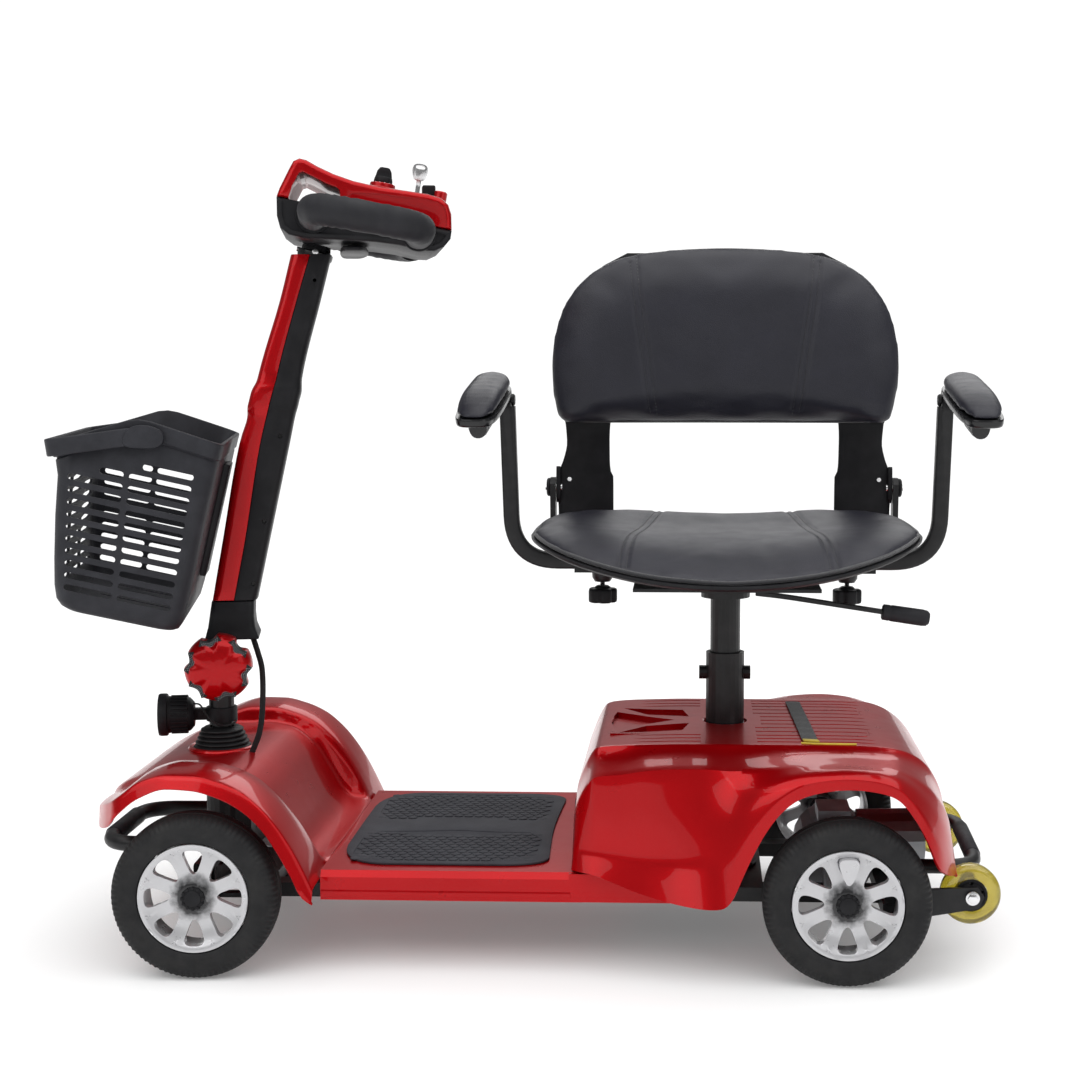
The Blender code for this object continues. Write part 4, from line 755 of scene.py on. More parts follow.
# ---------------------------------------------------------------- deck and mat
def deck():
    band = ((0.1948, 0.0835), (0.1956, 0.0885), (0.1956, 0.0925), (0.1948, 0.0955))
    bands = [extruded([(s * y, z) for y, z in band], 0, -0.465, -0.178) for s in (-1, 1)]
    piece("deck_side_band", together(bands), RED, "chassis", bevel=0.0006)
    z0, z1 = DECK_Z + 0.0004, DECK_Z + 0.003
    outline = chaikin([(-0.452, -0.168), (-0.33, -0.1685), (-0.205, -0.168), (-0.2085, -0.1), (-0.212, 0.0),
        (-0.2085, 0.1), (-0.205, 0.168), (-0.33, 0.1685), (-0.452, 0.168), (-0.4535, 0.0)], 3)
    fields = []
    for lo, hi in ((-0.158, -0.03), (0.03, 0.158)):
        inner = 0.01 if lo < 0 else -0.01
        a = [(-0.44, lo), (-0.222, lo), (-0.222, hi), (-0.29, hi + inner * 0.3), (-0.33, hi + inner),
            (-0.37, hi + inner * 0.3), (-0.44, hi)]
        if lo > 0:
            a = [(-0.44, lo), (-0.37, lo + inner * 0.3), (-0.33, lo + inner), (-0.29, lo + inner * 0.3), (-0.222, lo),
                (-0.222, hi), (-0.44, hi)]
        fields.append(extruded(chaikin(a, 1), 2, z1 - 0.001, z1 + 0.002))
    piece("mat_base", extruded(outline, 2, z0, z1), MAT, "chassis", cuts=fields, bevel=0.0006, replaces="floor_mat")
    scales = []
    step = 0.0128
    for side in (-1, 1):
        for i in range(18):
            for j in range(11):
                x = -0.4335 + i * step + (0.5 * step if j % 2 else 0.0)
                y = side * (0.0385 + j * step * 0.87)
                if x > -0.2265 or abs(y) > 0.153 or (abs(y) < 0.049 and -0.385 < x < -0.275):
                    continue
                hexagon = [(x + 0.006 * math.cos(a), y + 0.006 * math.sin(a)) for a in [math.pi / 6 + k * math.pi / 3
                    for k in range(6)]]
                small = [(x + 0.72 * (a - x), y + 0.72 * (b - y)) for a, b in hexagon]
                scales.append(loft([[(a, b, z1 - 0.0011) for a, b in hexagon], [(a, b, z1 + 0.0001) for a,
                    b in hexagon], [(a, b, z1 + 0.0005) for a, b in small]]))
    piece("mat_scales", together(scales), MAT, "chassis")


deck()


# ---------------------------------------------------------------- boot, strap, bumpers
def boot():
    profile = [(0.015, 0.205), (0.034, 0.205), (0.034, 0.216)]
    for k in range(5):
        r = 0.0352 - 0.0022 * k
        z = 0.2172 + 0.0052 * k
        profile += [(r - 0.0026, z), (r - 0.0006, z + 0.0007), (r, z + 0.0018), (r - 0.0004, z + 0.003),
            (r - 0.0024, z + 0.004)]
    profile += [(0.0215, 0.2436), (0.017, 0.2442), (0.015, 0.244)]
    piece("steering_bellows", revolve(profile, (STEER_X, 0, 0), (0, 0, 1), 56), BOOT, "chassis",
        replaces="steering_boot")


def strap():
    quad = np.array([(0.088, -0.118), (0.106, -0.122), (0.098, 0.108), (0.08, 0.11)])
    rows = []
    for t in np.linspace(0, 1, 40):
        a, b = (1 - t) * quad[0] + t * quad[3], (1 - t) * quad[1] + t * quad[2]
        lift = 0.2572 + 0.0011 * abs(math.sin(math.pi * 7 * t)) * (0.6 + 0.4 * math.sin(5 * t))
        rows.append([(*((1 - s) * a + s * b), lift + 0.0004 * math.sin(math.pi * s)) for s in (0, 0.25, 0.5, 0.75, 1)])
    shape = [p for row in rows for p in row], grid_faces(len(rows), 5)
    piece("battery_strap_webbing", shape, WEB, "chassis", thick=-0.0014, replaces="battery_strap")
    tab = extruded(((0.0885, -0.118), (0.1065, -0.122), (0.108, -0.131), (0.0895, -0.128)), 2, 0.2571, 0.259)
    piece("battery_strap_tab", tab, YELLOW, "chassis", bevel=0.0006, slot="webbing")
    hook = tube(rounded([(0.0865, -0.1335, 0.2568), (0.108, -0.1375, 0.2568), (0.15, -0.1385, 0.2568)], 0.006), 0.0013,
        10)
    piece("battery_strap_wire", hook, YELLOW, "chassis", slot="bright_steel")


def bumpers():
    front = [(-0.665, -0.088, 0.116), (-0.752, -0.086, 0.116), (-0.752, 0.086, 0.116), (-0.665, 0.088, 0.116)]
    back = [(0.2045, -0.112, 0.106), (0.296, -0.112, 0.106), (0.302, 0.112, 0.106), (0.2045, 0.112, 0.106)]
    for name, points, r in (("front_bumper", front, 0.0095), ("rear_bumper", back, 0.0085)):
        path = rounded(points, 0.045, 12)
        piece(name + "_tube", sweep(path, circle(r, 24)), STEEL, "chassis", replaces=name)
        a, b = np.array(points[1]), np.array(points[2])
        sleeve = [tuple(a + (b - a) * t) for t in (0.22, 0.23, 0.77, 0.78)]
        rings = [[(p[0] + s * c, p[1], p[2] + s * d) for c, d in circle(r, 24)] for p,
            s in zip(sleeve, (1.02, 1.16, 1.16, 1.02))]
        piece(name + "_sleeve", loft(rings), GRIP, "chassis")


boot()
strap()
bumpers()


# ---------------------------------------------------------------- wheels
def whole_section(points):
    """A section given for its outer half, completed by its mirror image."""
    return points + [(r, -y) for r, y in reversed(points)]


TYRE_HALF = [(0.0633, 0.018), (0.064, 0.0212), (0.0668, 0.0232), (0.071, 0.0235), (0.077, 0.0235), (0.0822, 0.0231),
    (0.0835, 0.0229), (0.0862, 0.0222), (0.089, 0.0208), (0.0914, 0.0186), (0.0931, 0.016), (0.0941, 0.0132),
    (0.0946, 0.0105), (0.0948, 0.0075), (0.0938, 0.0068), (0.0938, 0.0052), (0.095, 0.0045), (0.095, 0.0018)]


def tyre_shape():
    profile = whole_section(TYRE_HALF)
    ribs, per = 90, 4
    seg = ribs * per
    verts = []
    for i in range(seg):
        a = 2 * math.pi * i / seg
        cut = 0.0011 if i % per in (2, 3) else 0.0
        for r, y in profile:
            inside = 0.0845 < r < 0.0945 and abs(y) > 0.0098
            k = cut if inside else 0.0
            rr, yy = r - 0.8 * k, y - math.copysign(0.6 * k, y)
            verts.append((rr * math.cos(a), yy, rr * math.sin(a)))
    return verts, ring_faces(seg, len(profile), True)


WINDOW = chaikin([(0.0262, -0.003), (0.0262, 0.003), (0.04, 0.0088), (0.05, 0.0118), (0.0548, 0.0085), (0.0556, 0.0),
    (0.0548, -0.0085), (0.05, -0.0118), (0.04, -0.0088)], 2)


def spun(points, a, low, high, side):
    """A radial outline (u out, w across) at angle a, extruded along the axle."""
    c, s = math.cos(a), math.sin(a)
    flat = [(u * c - w * s, u * s + w * c) for u, w in points]
    return extruded(flat, 1, side * low, side * high)


def rim_shape(side):
    """Dished face, barrel, windows and engravings about the origin. The face looks towards side."""
    face = revolve([(0.006, 0.005), (0.006, 0.0178), (0.015, 0.018), (0.0175, 0.0172), (0.023, 0.014), (0.033, 0.0132),
        (0.043, 0.0146), (0.052, 0.018), (0.056, 0.0204), (0.059, 0.0216), (0.0622, 0.0216), (0.0627, 0.02),
        (0.0608, 0.016), (0.06, 0.0), (0.06, -0.014), (0.0627, -0.019), (0.0627, -0.0212), (0.06, -0.0212),
        (0.0566, -0.015), (0.0566, 0.004), (0.0545, 0.0086), (0.043, 0.006), (0.03, 0.005)], (0, 0, 0), (0, side, 0),
        96)
    cuts = []
    for i in range(8):
        a = math.pi / 2 + i * math.pi / 4
        cuts.append(spun(WINDOW, a, -0.002, 0.03, side))
        b = a + math.pi / 8
        for u0, u1, w0, w1 in ((0.0505, 0.054, 0.0, 0.0), (0.054, 0.0572, 0.0, 0.0024), (0.054, 0.0572, 0.0, -0.0024)):
            d = np.array([u1 - u0, w1 - w0])
            n = np.array([-d[1], d[0]]) / np.linalg.norm(d) * 0.0005
            quad = [(u0 + n[0], w0 + n[1]), (u1 + n[0], w1 + n[1]), (u1 - n[0], w1 - n[1]), (u0 - n[0], w0 - n[1])]
            h = 0.018 if u1 < 0.055 else 0.0196
            cuts.append(spun(quad, b, h, 0.026, side))
    return face, cuts


def cap_shape(side):
    verts, faces = revolve([(0.0, 0.015), (0.0128, 0.015), (0.0132, 0.018), (0.0128, 0.0205), (0.0098, 0.0213),
        (0.0095, 0.0222), (0.0085, 0.0228), (0.0, 0.0229)], (0, 0, 0), (0, side, 0), 40, False)
    teeth = []
    for i in range(12):
        teeth.append(spun([(0.0102, -0.0011), (0.0135, -0.0015), (0.0135, 0.0015), (0.0102, 0.0011)], i * math.pi / 6,
            0.017, 0.0222, side))
    return together([(verts, faces)] + teeth)


def wheel(prefix, side, x, body):
    centre = (x, side * WHEEL_Y, WHEEL_R)

    def place(p):
        q = (p[0] + centre[0], p[1] + centre[1], p[2] + centre[2])
        if x < 0:
            q = turned(q, FRONT_X, side * KINGPIN_Y, WHEEL_TURN)
        return in_world(q)

    origin = place((0, 0, 0))
    face, cuts = rim_shape(side)
    cuts.append(rod((0, -0.03, 0), (0, side * 0.0165, 0), 0.0085, 24))
    adds = [rod((0, side * -0.021, 0), (0, side * 0.012, 0), 0.0165, 32)]
    bores = [rod((0, -0.03, 0), (0, 0.03, 0), 0.0086, 24)] if x < 0 else []
    piece(prefix + "_wheel_rim", face, WHEEL, body, place, adds=adds, cuts=cuts[:-1] + bores, bevel=0.0009,
        origin=origin, replaces=prefix + "_rim", segments=3, angle=30.0)
    piece(prefix + "_hub_cap", cap_shape(side), SHELL, body, place)
    piece(prefix + "_tyre_tread", tyre_shape(), TYRE, body, place, origin=origin, replaces=prefix + "_tyre", angle=34.0)
    if x > 0:
        shaft = rod((0, -side * (WHEEL_Y - 0.064), 0), (0, -side * 0.019, 0), 0.0093, 24)
        piece(prefix + "_half_shaft", shaft, BRIGHT, body, place, slot="silver_alloy")


for prefix, side, x in (("front_left", -1, FRONT_X), ("front_right", 1, FRONT_X), ("rear_left", -1, REAR_X),
        ("rear_right", 1, REAR_X)):
    wheel(prefix, side, x, prefix + "_wheel")


def anti_tip(prefix, side):
    centre = (0.282, side * 0.148, 0.085)

    def place(p):
        return in_world((p[0] + centre[0], p[1] + centre[1], p[2] + centre[2]))

    origin = place((0, 0, 0))
    body = prefix + "_anti_tip_wheel"
    tread = [(0.0192, 0.0098), (0.024, 0.0108), (0.029, 0.0109), (0.0322, 0.0098), (0.0341, 0.0076), (0.0349, 0.0046),
        (0.035, 0.0012)]
    piece(prefix + "_anti_tip_tread", revolve(whole_section(tread), (0, 0, 0), (0, 1, 0), 64), AMBER, body, place,
        origin=origin, replaces=prefix + "_anti_tip_tyre")
    hub = revolve([(0.0045, -0.0113), (0.0108, -0.0113), (0.0112, -0.0085), (0.015, -0.0075), (0.016, -0.0095),
        (0.0188, -0.0095), (0.0188, 0.0095), (0.016, 0.0095), (0.015, 0.0075), (0.0112, 0.0085), (0.0108, 0.0113),
        (0.0045, 0.0113)], (0, 0, 0), (0, 1, 0), 48)
    holes = []
    for i in range(5):
        a = i * 2 * math.pi / 5 + 0.3
        holes.append(rod((0.0134 * math.cos(a), -0.02, 0.0134 * math.sin(a)), (0.0134 * math.cos(a), 0.02,
            0.0134 * math.sin(a)), 0.0022, 14))
    piece(prefix + "_anti_tip_core", hub, SHELL, body, place, cuts=holes, bevel=0.0004,
        replaces=prefix + "_anti_tip_hub")
    bolt = together([rod((0, side * 0.0222, 0), (0, side * 0.025, 0), 0.0062, 6),
        rod((0, side * 0.0215, 0), (0, side * 0.0224, 0), 0.0082, 28), rod((0, side * -0.015, 0),
        (0, side * -0.0116, 0), 0.006, 6)])
    piece(prefix + "_anti_tip_bolt", bolt, BRIGHT, "chassis", place, bevel=0.0005)


for word, side in SIDES:
    anti_tip(word, side)


# ---------------------------------------------------------------- tiller
# z, front edge x, split line x, rear edge x, half width
TILLER = ((0.405, -0.6335, -0.607, -0.58, 0.029), (0.48, -0.6195, -0.592, -0.5635, 0.029),
    (0.6, -0.5965, -0.571, -0.537, 0.029), (0.632, -0.587, -0.563, -0.53, 0.029),
    (0.64, -0.5868, -0.561, -0.5275, 0.0306), (0.648, -0.585, -0.559, -0.5255, 0.031),
    (0.662, -0.581, -0.555, -0.5222, 0.031), (0.672, -0.5755, -0.552, -0.522, 0.0285),
    (0.684, -0.572, -0.549, -0.52, 0.0266), (0.7, -0.5675, -0.545, -0.5165, 0.0265),
    (0.77, -0.5455, -0.525, -0.4975, 0.0265), (0.826, -0.531, -0.508, -0.483, 0.0265))


def half_section(split, edge, w, sign, c):
    """One half of the tiller's section, from its split line round the corner and back."""
    out = [(split, -w), (split + 0.4 * (edge + sign * c - split), -w)]
    for a in np.linspace(0, math.pi / 2, 6):
        out.append((edge + sign * (c - c * math.sin(a)), -w + c - c * math.cos(a)))
    out.append((edge - sign * 0.0008, 0.0))
    return out + [(x, -y) for x, y in reversed(out[:-1])]


def tiller_half(front):
    zs = sorted(set(np.round(np.concatenate([np.linspace(0.405, 0.826, 30), np.linspace(0.628, 0.69, 18)]), 4)))
    rings = []
    for z, (xf, xs, xr, w) in zip(zs, resampled(TILLER, zs)):
        edge, sign = (xf, 1) if front else (xr, -1)
        t = 0.0026
        split = xs - sign * 0.0004
        outer = half_section(split, edge, w, sign, 0.0095)
        inner = half_section(split, edge + sign * t, w - t, sign, 0.0072)
        rings.append([(x, y, z) for x, y in outer + inner[::-1]])
    return loft(rings)


def tiller():
    piece("tiller_front_cover", tiller_half(True), RED, "tiller", in_tiller, replaces="tiller_front_shell",
        bevel=0.0005)
    holes, plugs = [], []
    for x, z in ((-0.548, 0.606), (-0.569, 0.502), (-0.584, 0.425)):
        holes.append(rod((x, -0.04, z), (x, 0.04, z), 0.0026, 16))
        plugs.append(rod((x, -0.0258, z), (x, 0.0258, z), 0.0021, 12))
    holes += [rod((-0.503, -0.04, 0.795), (-0.503, 0.04, 0.795), 0.0022, 16)]
    piece("tiller_rear_cover", tiller_half(False), SHELL, "tiller", in_tiller, cuts=holes, bevel=0.0005,
        replaces="tiller_rear_shell")
    piece("tiller_cover_screws", together(plugs), STEEL, "tiller", in_tiller)
    rings = []
    for z, a, b, w in ((0.3572, -0.6425, -0.5785, 0.0345), (0.3585, -0.643, -0.578, 0.035),
            (0.364, -0.6415, -0.58, 0.0335), (0.372, -0.6395, -0.5825, 0.0318), (0.385, -0.6375, -0.5835, 0.0308),
            (0.4035, -0.6345, -0.583, 0.03)):
        c = 0.004 if z < 0.37 else 0.008
        outline = rounded([(0.5 * (a + b), -w, z), (a, -w, z), (a, w, z), (b, w, z), (b, -w, z),
            (0.5 * (a + b) + 0.0001, -w, z)], c, 4)
        rings.append(outline)
    inner = []
    for ring in reversed(rings):
        cx = sum(p[0] for p in ring) / len(ring)
        inner.append([(cx + (x - cx) * 0.92, y * 0.92, z) for x, y, z in ring])
    verts, faces = loft(rings + inner)
    faces = faces[:-2]
    n, m = len(rings[0]), len(rings) * 2
    for j in range(n):
        k = (j + 1) % n
        faces.append(((m - 1) * n + j, (m - 1) * n + k, k, j))
    piece("tiller_skirt_cover", (verts, faces), SHELL, "tiller", in_tiller, replaces="tiller_skirt", bevel=0.0006)
    neck = revolve([(0.0, 0.0), (0.0205, 0.0), (0.0215, 0.003), (0.0215, 0.008), (0.018, 0.01), (0.0165, 0.018),
        (0.0, 0.018)], along(0.507, -0.004), MAST_AXIS, 40, False)
    piece("tiller_neck_collar", neck, GLOSS, "tiller", in_tiller)
    bolts = [rod(along(0.515, -0.004, s * 0.019), along(0.515, -0.004, s * 0.0245), 0.004, 6) for s in (-1, 1)]
    bolts += [rod(along(0.515, 0.014, 0.008), along(0.515, 0.0195, 0.008), 0.0034, 6)]
    piece("tiller_neck_bolts", together(bolts), BRIGHT, "tiller", in_tiller, bevel=0.0004)


tiller()


# ---------------------------------------------------------------- head
HEAD_HALF = 0.108
LOWER = [(-0.544, 0.8877), (-0.544, 0.866), (-0.5405, 0.852), (-0.53, 0.844), (-0.512, 0.84), (-0.47, 0.8385),
    (-0.43, 0.8365), (-0.402, 0.833), (-0.378, 0.827), (-0.362, 0.8265), (-0.35, 0.832), (-0.3425, 0.841),
    (-0.341, 0.8507)]
UPPER = [(-0.544, 0.8883), (-0.5405, 0.8975), (-0.529, 0.92), (-0.524, 0.929), (-0.517, 0.9322), (-0.509, 0.9305),
    (-0.496, 0.9232), (-0.478, 0.915), (-0.455, 0.9072), (-0.425, 0.9008), (-0.392, 0.8966), (-0.368, 0.893),
    (-0.353, 0.8885), (-0.3445, 0.881), (-0.3412, 0.87), (-0.341, 0.8513)]
WINDOW_HOLE = [(-0.531, 0.885), (-0.5255, 0.901), (-0.518, 0.915), (-0.513, 0.9168), (-0.504, 0.9125), (-0.485, 0.903),
    (-0.4745, 0.8992), (-0.4712, 0.896), (-0.4705, 0.886), (-0.4708, 0.8735), (-0.476, 0.8722), (-0.5, 0.876)]


def inset(outline, d):
    """A closed outline moved inwards by d."""
    n = len(outline)
    area = sum(outline[i][0] * outline[(i + 1) % n][1] - outline[(i + 1) % n][0] * outline[i][1] for i in range(n))
    out = []
    for i in range(n):
        p, q, r = (np.array(outline[k % n], float) for k in (i - 1, i, i + 1))
        a, b = unit(q - p), unit(r - q)
        normal = np.array([-(a + b)[1], (a + b)[0]])
        normal = normal / max(np.linalg.norm(normal), 1e-9) * (1 if area > 0 else -1)
        lean = max(abs(a[0] * b[0] + a[1] * b[1]) * 0.5 + 0.5, 0.5) ** 0.5
        out.append(tuple(q + normal * d / lean))
    return out


def slab(outline, half, lip, steps=4):
    """An outline given thickness along Y with rounded outer corners."""
    rings = []
    for sign in (-1, 1):
        rows = []
        for k in range(steps + 1):
            a = math.pi / 2 * k / steps
            rows.append((inset(outline, lip * (1 - math.sin(a))) if k < steps else outline,
                sign * (half - lip * (1 - math.cos(a)))))
        rings += rows if sign < 0 else rows[::-1]
    return loft([[(x, y, z) for x, z in ring] for ring, y in rings])


def head():
    """The control head: two shells, dial, key, horn, caps, paddle and grips."""
    pockets = [sorted((side * (HEAD_HALF - 0.0022), side * (HEAD_HALF + 0.01))) for side in (-1, 1)]
    lower_in = inset(LOWER, 0.0062)[1:-1]
    lower_in = [(lower_in[0][0], 0.892)] + lower_in + [(lower_in[-1][0], 0.846)]
    cuts = [extruded(lower_in, 1, *pair) for pair in pockets]
    piece("head_lower_cover", slab(LOWER, HEAD_HALF, 0.0055), SHELL, "tiller", in_tiller, cuts=cuts,
        replaces="head_lower_shell", bevel=0.0008, segments=3)
    upper_in = [(-0.463, 0.86), (-0.463, 0.8895), (-0.456, 0.893), (-0.425, 0.8925), (-0.4, 0.8895), (-0.37, 0.8868),
        (-0.356, 0.8832), (-0.349, 0.877), (-0.347, 0.869), (-0.347, 0.845)]
    cuts = [slab(WINDOW_HOLE, 0.2, 0.001, 1)]
    cuts += [extruded(upper_in, 1, *pair) for pair in pockets]
    piece("head_upper_cover", slab(UPPER, HEAD_HALF - 0.0004, 0.006), RED, "tiller", in_tiller, cuts=cuts,
        replaces="head_upper_shell", bevel=0.0014, segments=4)
    up = unit((0.0014, 0, 0.0091))
    aft = np.array((up[2], 0, -up[0]))
    dial_at = np.array((-0.421, 0, 0.9))
    base = revolve([(0.0, -0.002), (0.019, -0.002), (0.019, 0.0085), (0.018, 0.0094), (0.0158, 0.0098),
        (0.0152, 0.0136), (0.0142, 0.0144), (0.0, 0.0144)], dial_at, up, 48, False)
    piece("dial_red_base", base, RED, "tiller", in_tiller)
    marks = []
    for i in range(11):
        a = math.radians(-135 + 27 * i)
        out = aft * math.cos(a) + np.array((0, 1, 0)) * math.sin(a)
        marks.append(rod(dial_at + up * 0.0138 + out * 0.013, dial_at + up * 0.0148 + out * 0.013, 0.0006, 8))
    piece("dial_scale_dots", together(marks), BRIGHT, "tiller", in_tiller, slot="")
    profile = [(0.0, 0.0149), (0.0113, 0.0149), (0.0115, 0.0172), (0.0106, 0.0212), (0.01, 0.0222), (0.0, 0.0226)]
    knob = revolve(profile, dial_at, up, 40, False)
    wing = loft([[tuple(dial_at + up * h + aft * a + np.array((0, b, 0))) for a,
        b in ((-s, -0.0026), (s, -0.0026), (s * 1.02, 0), (s, 0.0026), (-s, 0.0026), (-s * 1.02, 0))] for h,
        s in ((0.02, 0.0104), (0.029, 0.0086), (0.033, 0.006), (0.0338, 0.0038))])
    piece("speed_dial_knob", knob, SHELL, "speed_dial", in_tiller, adds=[wing], bevel=0.0007, replaces="speed_dial")
    pointer = ((-0.01, -0.0006), (-0.006, -0.0006), (-0.006, 0.0006), (-0.01, 0.0006))
    piece("speed_dial_pointer", loft([[tuple(dial_at + up * h + aft * a + np.array((0, b, 0))) for a, b in pointer]
        for h in (0.0222, 0.0234)]), BRIGHT, "speed_dial", in_tiller)
    key_up = unit((0.001, 0, 0.0066))
    at = np.array((-0.3785, 0, 0.894))
    side = np.array((key_up[2], 0, -key_up[0]))

    def key_point(a, b, h):
        return tuple(at + key_up * h + side * a + np.array((0, b, 0)))

    lock = revolve([(0.0068, -0.003), (0.0092, -0.003), (0.0092, 0.0024), (0.0084, 0.0032), (0.0068, 0.0034)], at,
        key_up, 36)
    piece("lock_ring", lock, BRIGHT, "tiller", in_tiller)
    bow = chaikin([(-0.006, 0.024), (-0.009, 0.032), (-0.01, 0.04), (-0.006, 0.045), (0.006, 0.045), (0.01, 0.04),
        (0.009, 0.032), (0.006, 0.024)], 2)
    eye = chaikin([(-0.006, 0.0385), (-0.0055, 0.0425), (0.0055, 0.0425), (0.006, 0.0385)], 2)
    shank = loft([[key_point(a, b, h) for a, b in ((-0.0028, -0.0011), (0.0028, -0.0011), (0.0028, 0.0011),
        (-0.0028, 0.0011))] for h in (0.005, 0.027)])
    plug = revolve([(0.0, 0.0012), (0.0062, 0.0012), (0.0062, 0.007), (0.0054, 0.0078), (0.0, 0.0078)], at, key_up, 32,
        False)
    piece("ignition_key_body", loft([[key_point(a, b, h) for a, h in bow] for b in (-0.0014, 0.0014)]), BRIGHT,
        "ignition_key", in_tiller, adds=[shank, plug], cuts=[loft([[key_point(a, b, h) for a, h in eye]
        for b in (-0.004, 0.004)])], bevel=0.0004, replaces="ignition_key")
    horn_at, horn_up = np.array((-0.36, 0.02, 0.8925)), np.array((0.181, 0, 0.9835))
    piece("horn_bezel", revolve([(0.0072, -0.003), (0.0098, -0.003), (0.0098, 0.001), (0.0088, 0.002),
        (0.0072, 0.002)], horn_at - horn_up * 0.0016, horn_up, 36), SHELL, "tiller", in_tiller)
    piece("horn_button_cap", revolve([(0.0, 0.0014), (0.0067, 0.0014), (0.0067, 0.0058), (0.0056, 0.0074),
        (0.0, 0.008)], horn_at, horn_up, 32, False), SHELL, "horn_button", in_tiller, replaces="horn_button")
    tab = revolve([(0.0, -0.002), (0.0078, -0.002), (0.0078, 0.012), (0.0064, 0.0134), (0.0, 0.0136)],
        (-0.352, -0.04, 0.8885), horn_up, 32, False)
    piece("charge_port_cover", tab, RED, "tiller", in_tiller)
    block = extruded(((-0.372, -0.034), (-0.356, -0.034), (-0.356, -0.014), (-0.372, -0.014)), 2, 0.886, 0.91)
    piece("gauge_block", block, SHELL, "tiller", in_tiller, bevel=0.0022, segments=4)
    out = [(-0.469, -0.092), (-0.456, -0.0935), (-0.445, -0.089), (-0.4385, -0.04), (-0.4375, 0.0), (-0.4385, 0.04),
        (-0.445, 0.089), (-0.456, 0.0935), (-0.469, 0.092), (-0.4715, 0.04), (-0.472, 0.0), (-0.4715, -0.04)]
    out = chaikin(out, 2)
    plate = loft([[(-0.455 + (x + 0.455) * k, y * k, z) for x, y in out] for k,
        z in ((0.95, 0.8268), (1.0, 0.8282), (1.0, 0.8318), (0.96, 0.833))])
    piece("throttle_paddle_blade", plate, SHELL, "throttle_paddle", in_tiller,
        adds=[rod((-0.455, 0, 0.831), (-0.455, 0, 0.8352), 0.0088, 32)], bevel=0.0006, replaces="throttle_paddle")
    for word, s in SIDES:
        edge = HEAD_HALF - 0.001
        loop = [(-0.502, s * edge, 0.866), (-0.501, s * 0.223, 0.867), (-0.382, s * 0.223, 0.8465),
            (-0.38, s * edge, 0.846)]
        path = rounded(loop, 0.046, 14)
        rings_r = [0.0178 + (0.0006 * math.sin(3.0 * i) if 0.2 < i / len(path) < 0.8 else 0.0)
            for i in range(len(path))]
        verts, faces = sweep(path, circle(1.0, 28))
        n = 28
        scaled = []
        for i, p in enumerate(path):
            for j in range(n):
                v = np.array(verts[i * n + j]) - np.array(p)
                scaled.append(tuple(np.array(p) + v * rings_r[i]))
        piece(word + "_grip_sleeve", (scaled, faces), GRIP, "tiller", in_tiller, replaces=word + "_grip")
        flange = [revolve([(0.0, 0.0), (0.0205, 0.0), (0.02, 0.0024), (0.0, 0.0026)], (x, s * (HEAD_HALF - 0.0024), z),
            (0, s, 0), 36, False) for x, z in ((-0.502, 0.866), (-0.38, 0.846))]
        piece(word + "_grip_flange", together(flange), SHELL, "tiller", in_tiller)


head()


# ---------------------------------------------------------------- basket
BASKET_HALF, BASKET_BACK = 0.17, 0.047


def rim_u(v):
    return float(np.interp(v, (0.047, 0.1, 0.136, 0.15, 0.226), (0.27, 0.2755, 0.279, 0.2765, 0.233)))


def basket_ring(u, v0, v1, half, r=0.02, drop=None):
    """A rounded rectangle round the basket; with drop it follows the peaked rim instead of a level u."""
    pts = []
    for cv, cy, start in ((v1 - r, half - r, 0.0), (v0 + r, half - r, 0.5 * math.pi), (v0 + r, -half + r, math.pi),
            (v1 - r, -half + r, 1.5 * math.pi)):
        for a in np.linspace(start, start + 0.5 * math.pi, 7):
            pts.append((cv + r * math.cos(a), cy + r * math.sin(a)))
        if start in (0.0, math.pi):
            a, b = (v1 - r, v0 + r) if start == 0.0 else (v0 + r, v1 - r)
            y = half if start == 0.0 else -half
            pts += [(a + (b - a) * t, y) for t in np.linspace(0, 1, 12)[1:-1]]
    return [along(rim_u(v) - drop if drop is not None else u, v, y) for v, y in pts]


def slot_hole(v0, v1, u, h, ys):
    """A slot with round ends through the basket's side walls."""
    r = 0.5 * h
    ring = [(v0 + r + r * math.cos(a), u + r * math.sin(a)) for a in np.linspace(math.pi / 2, 1.5 * math.pi, 6)]
    ring += [(v1 - r + r * math.cos(a), u + r * math.sin(a)) for a in np.linspace(-math.pi / 2, math.pi / 2, 6)]
    return loft([[along(b, a, y) for a, b in ring] for y in ys])


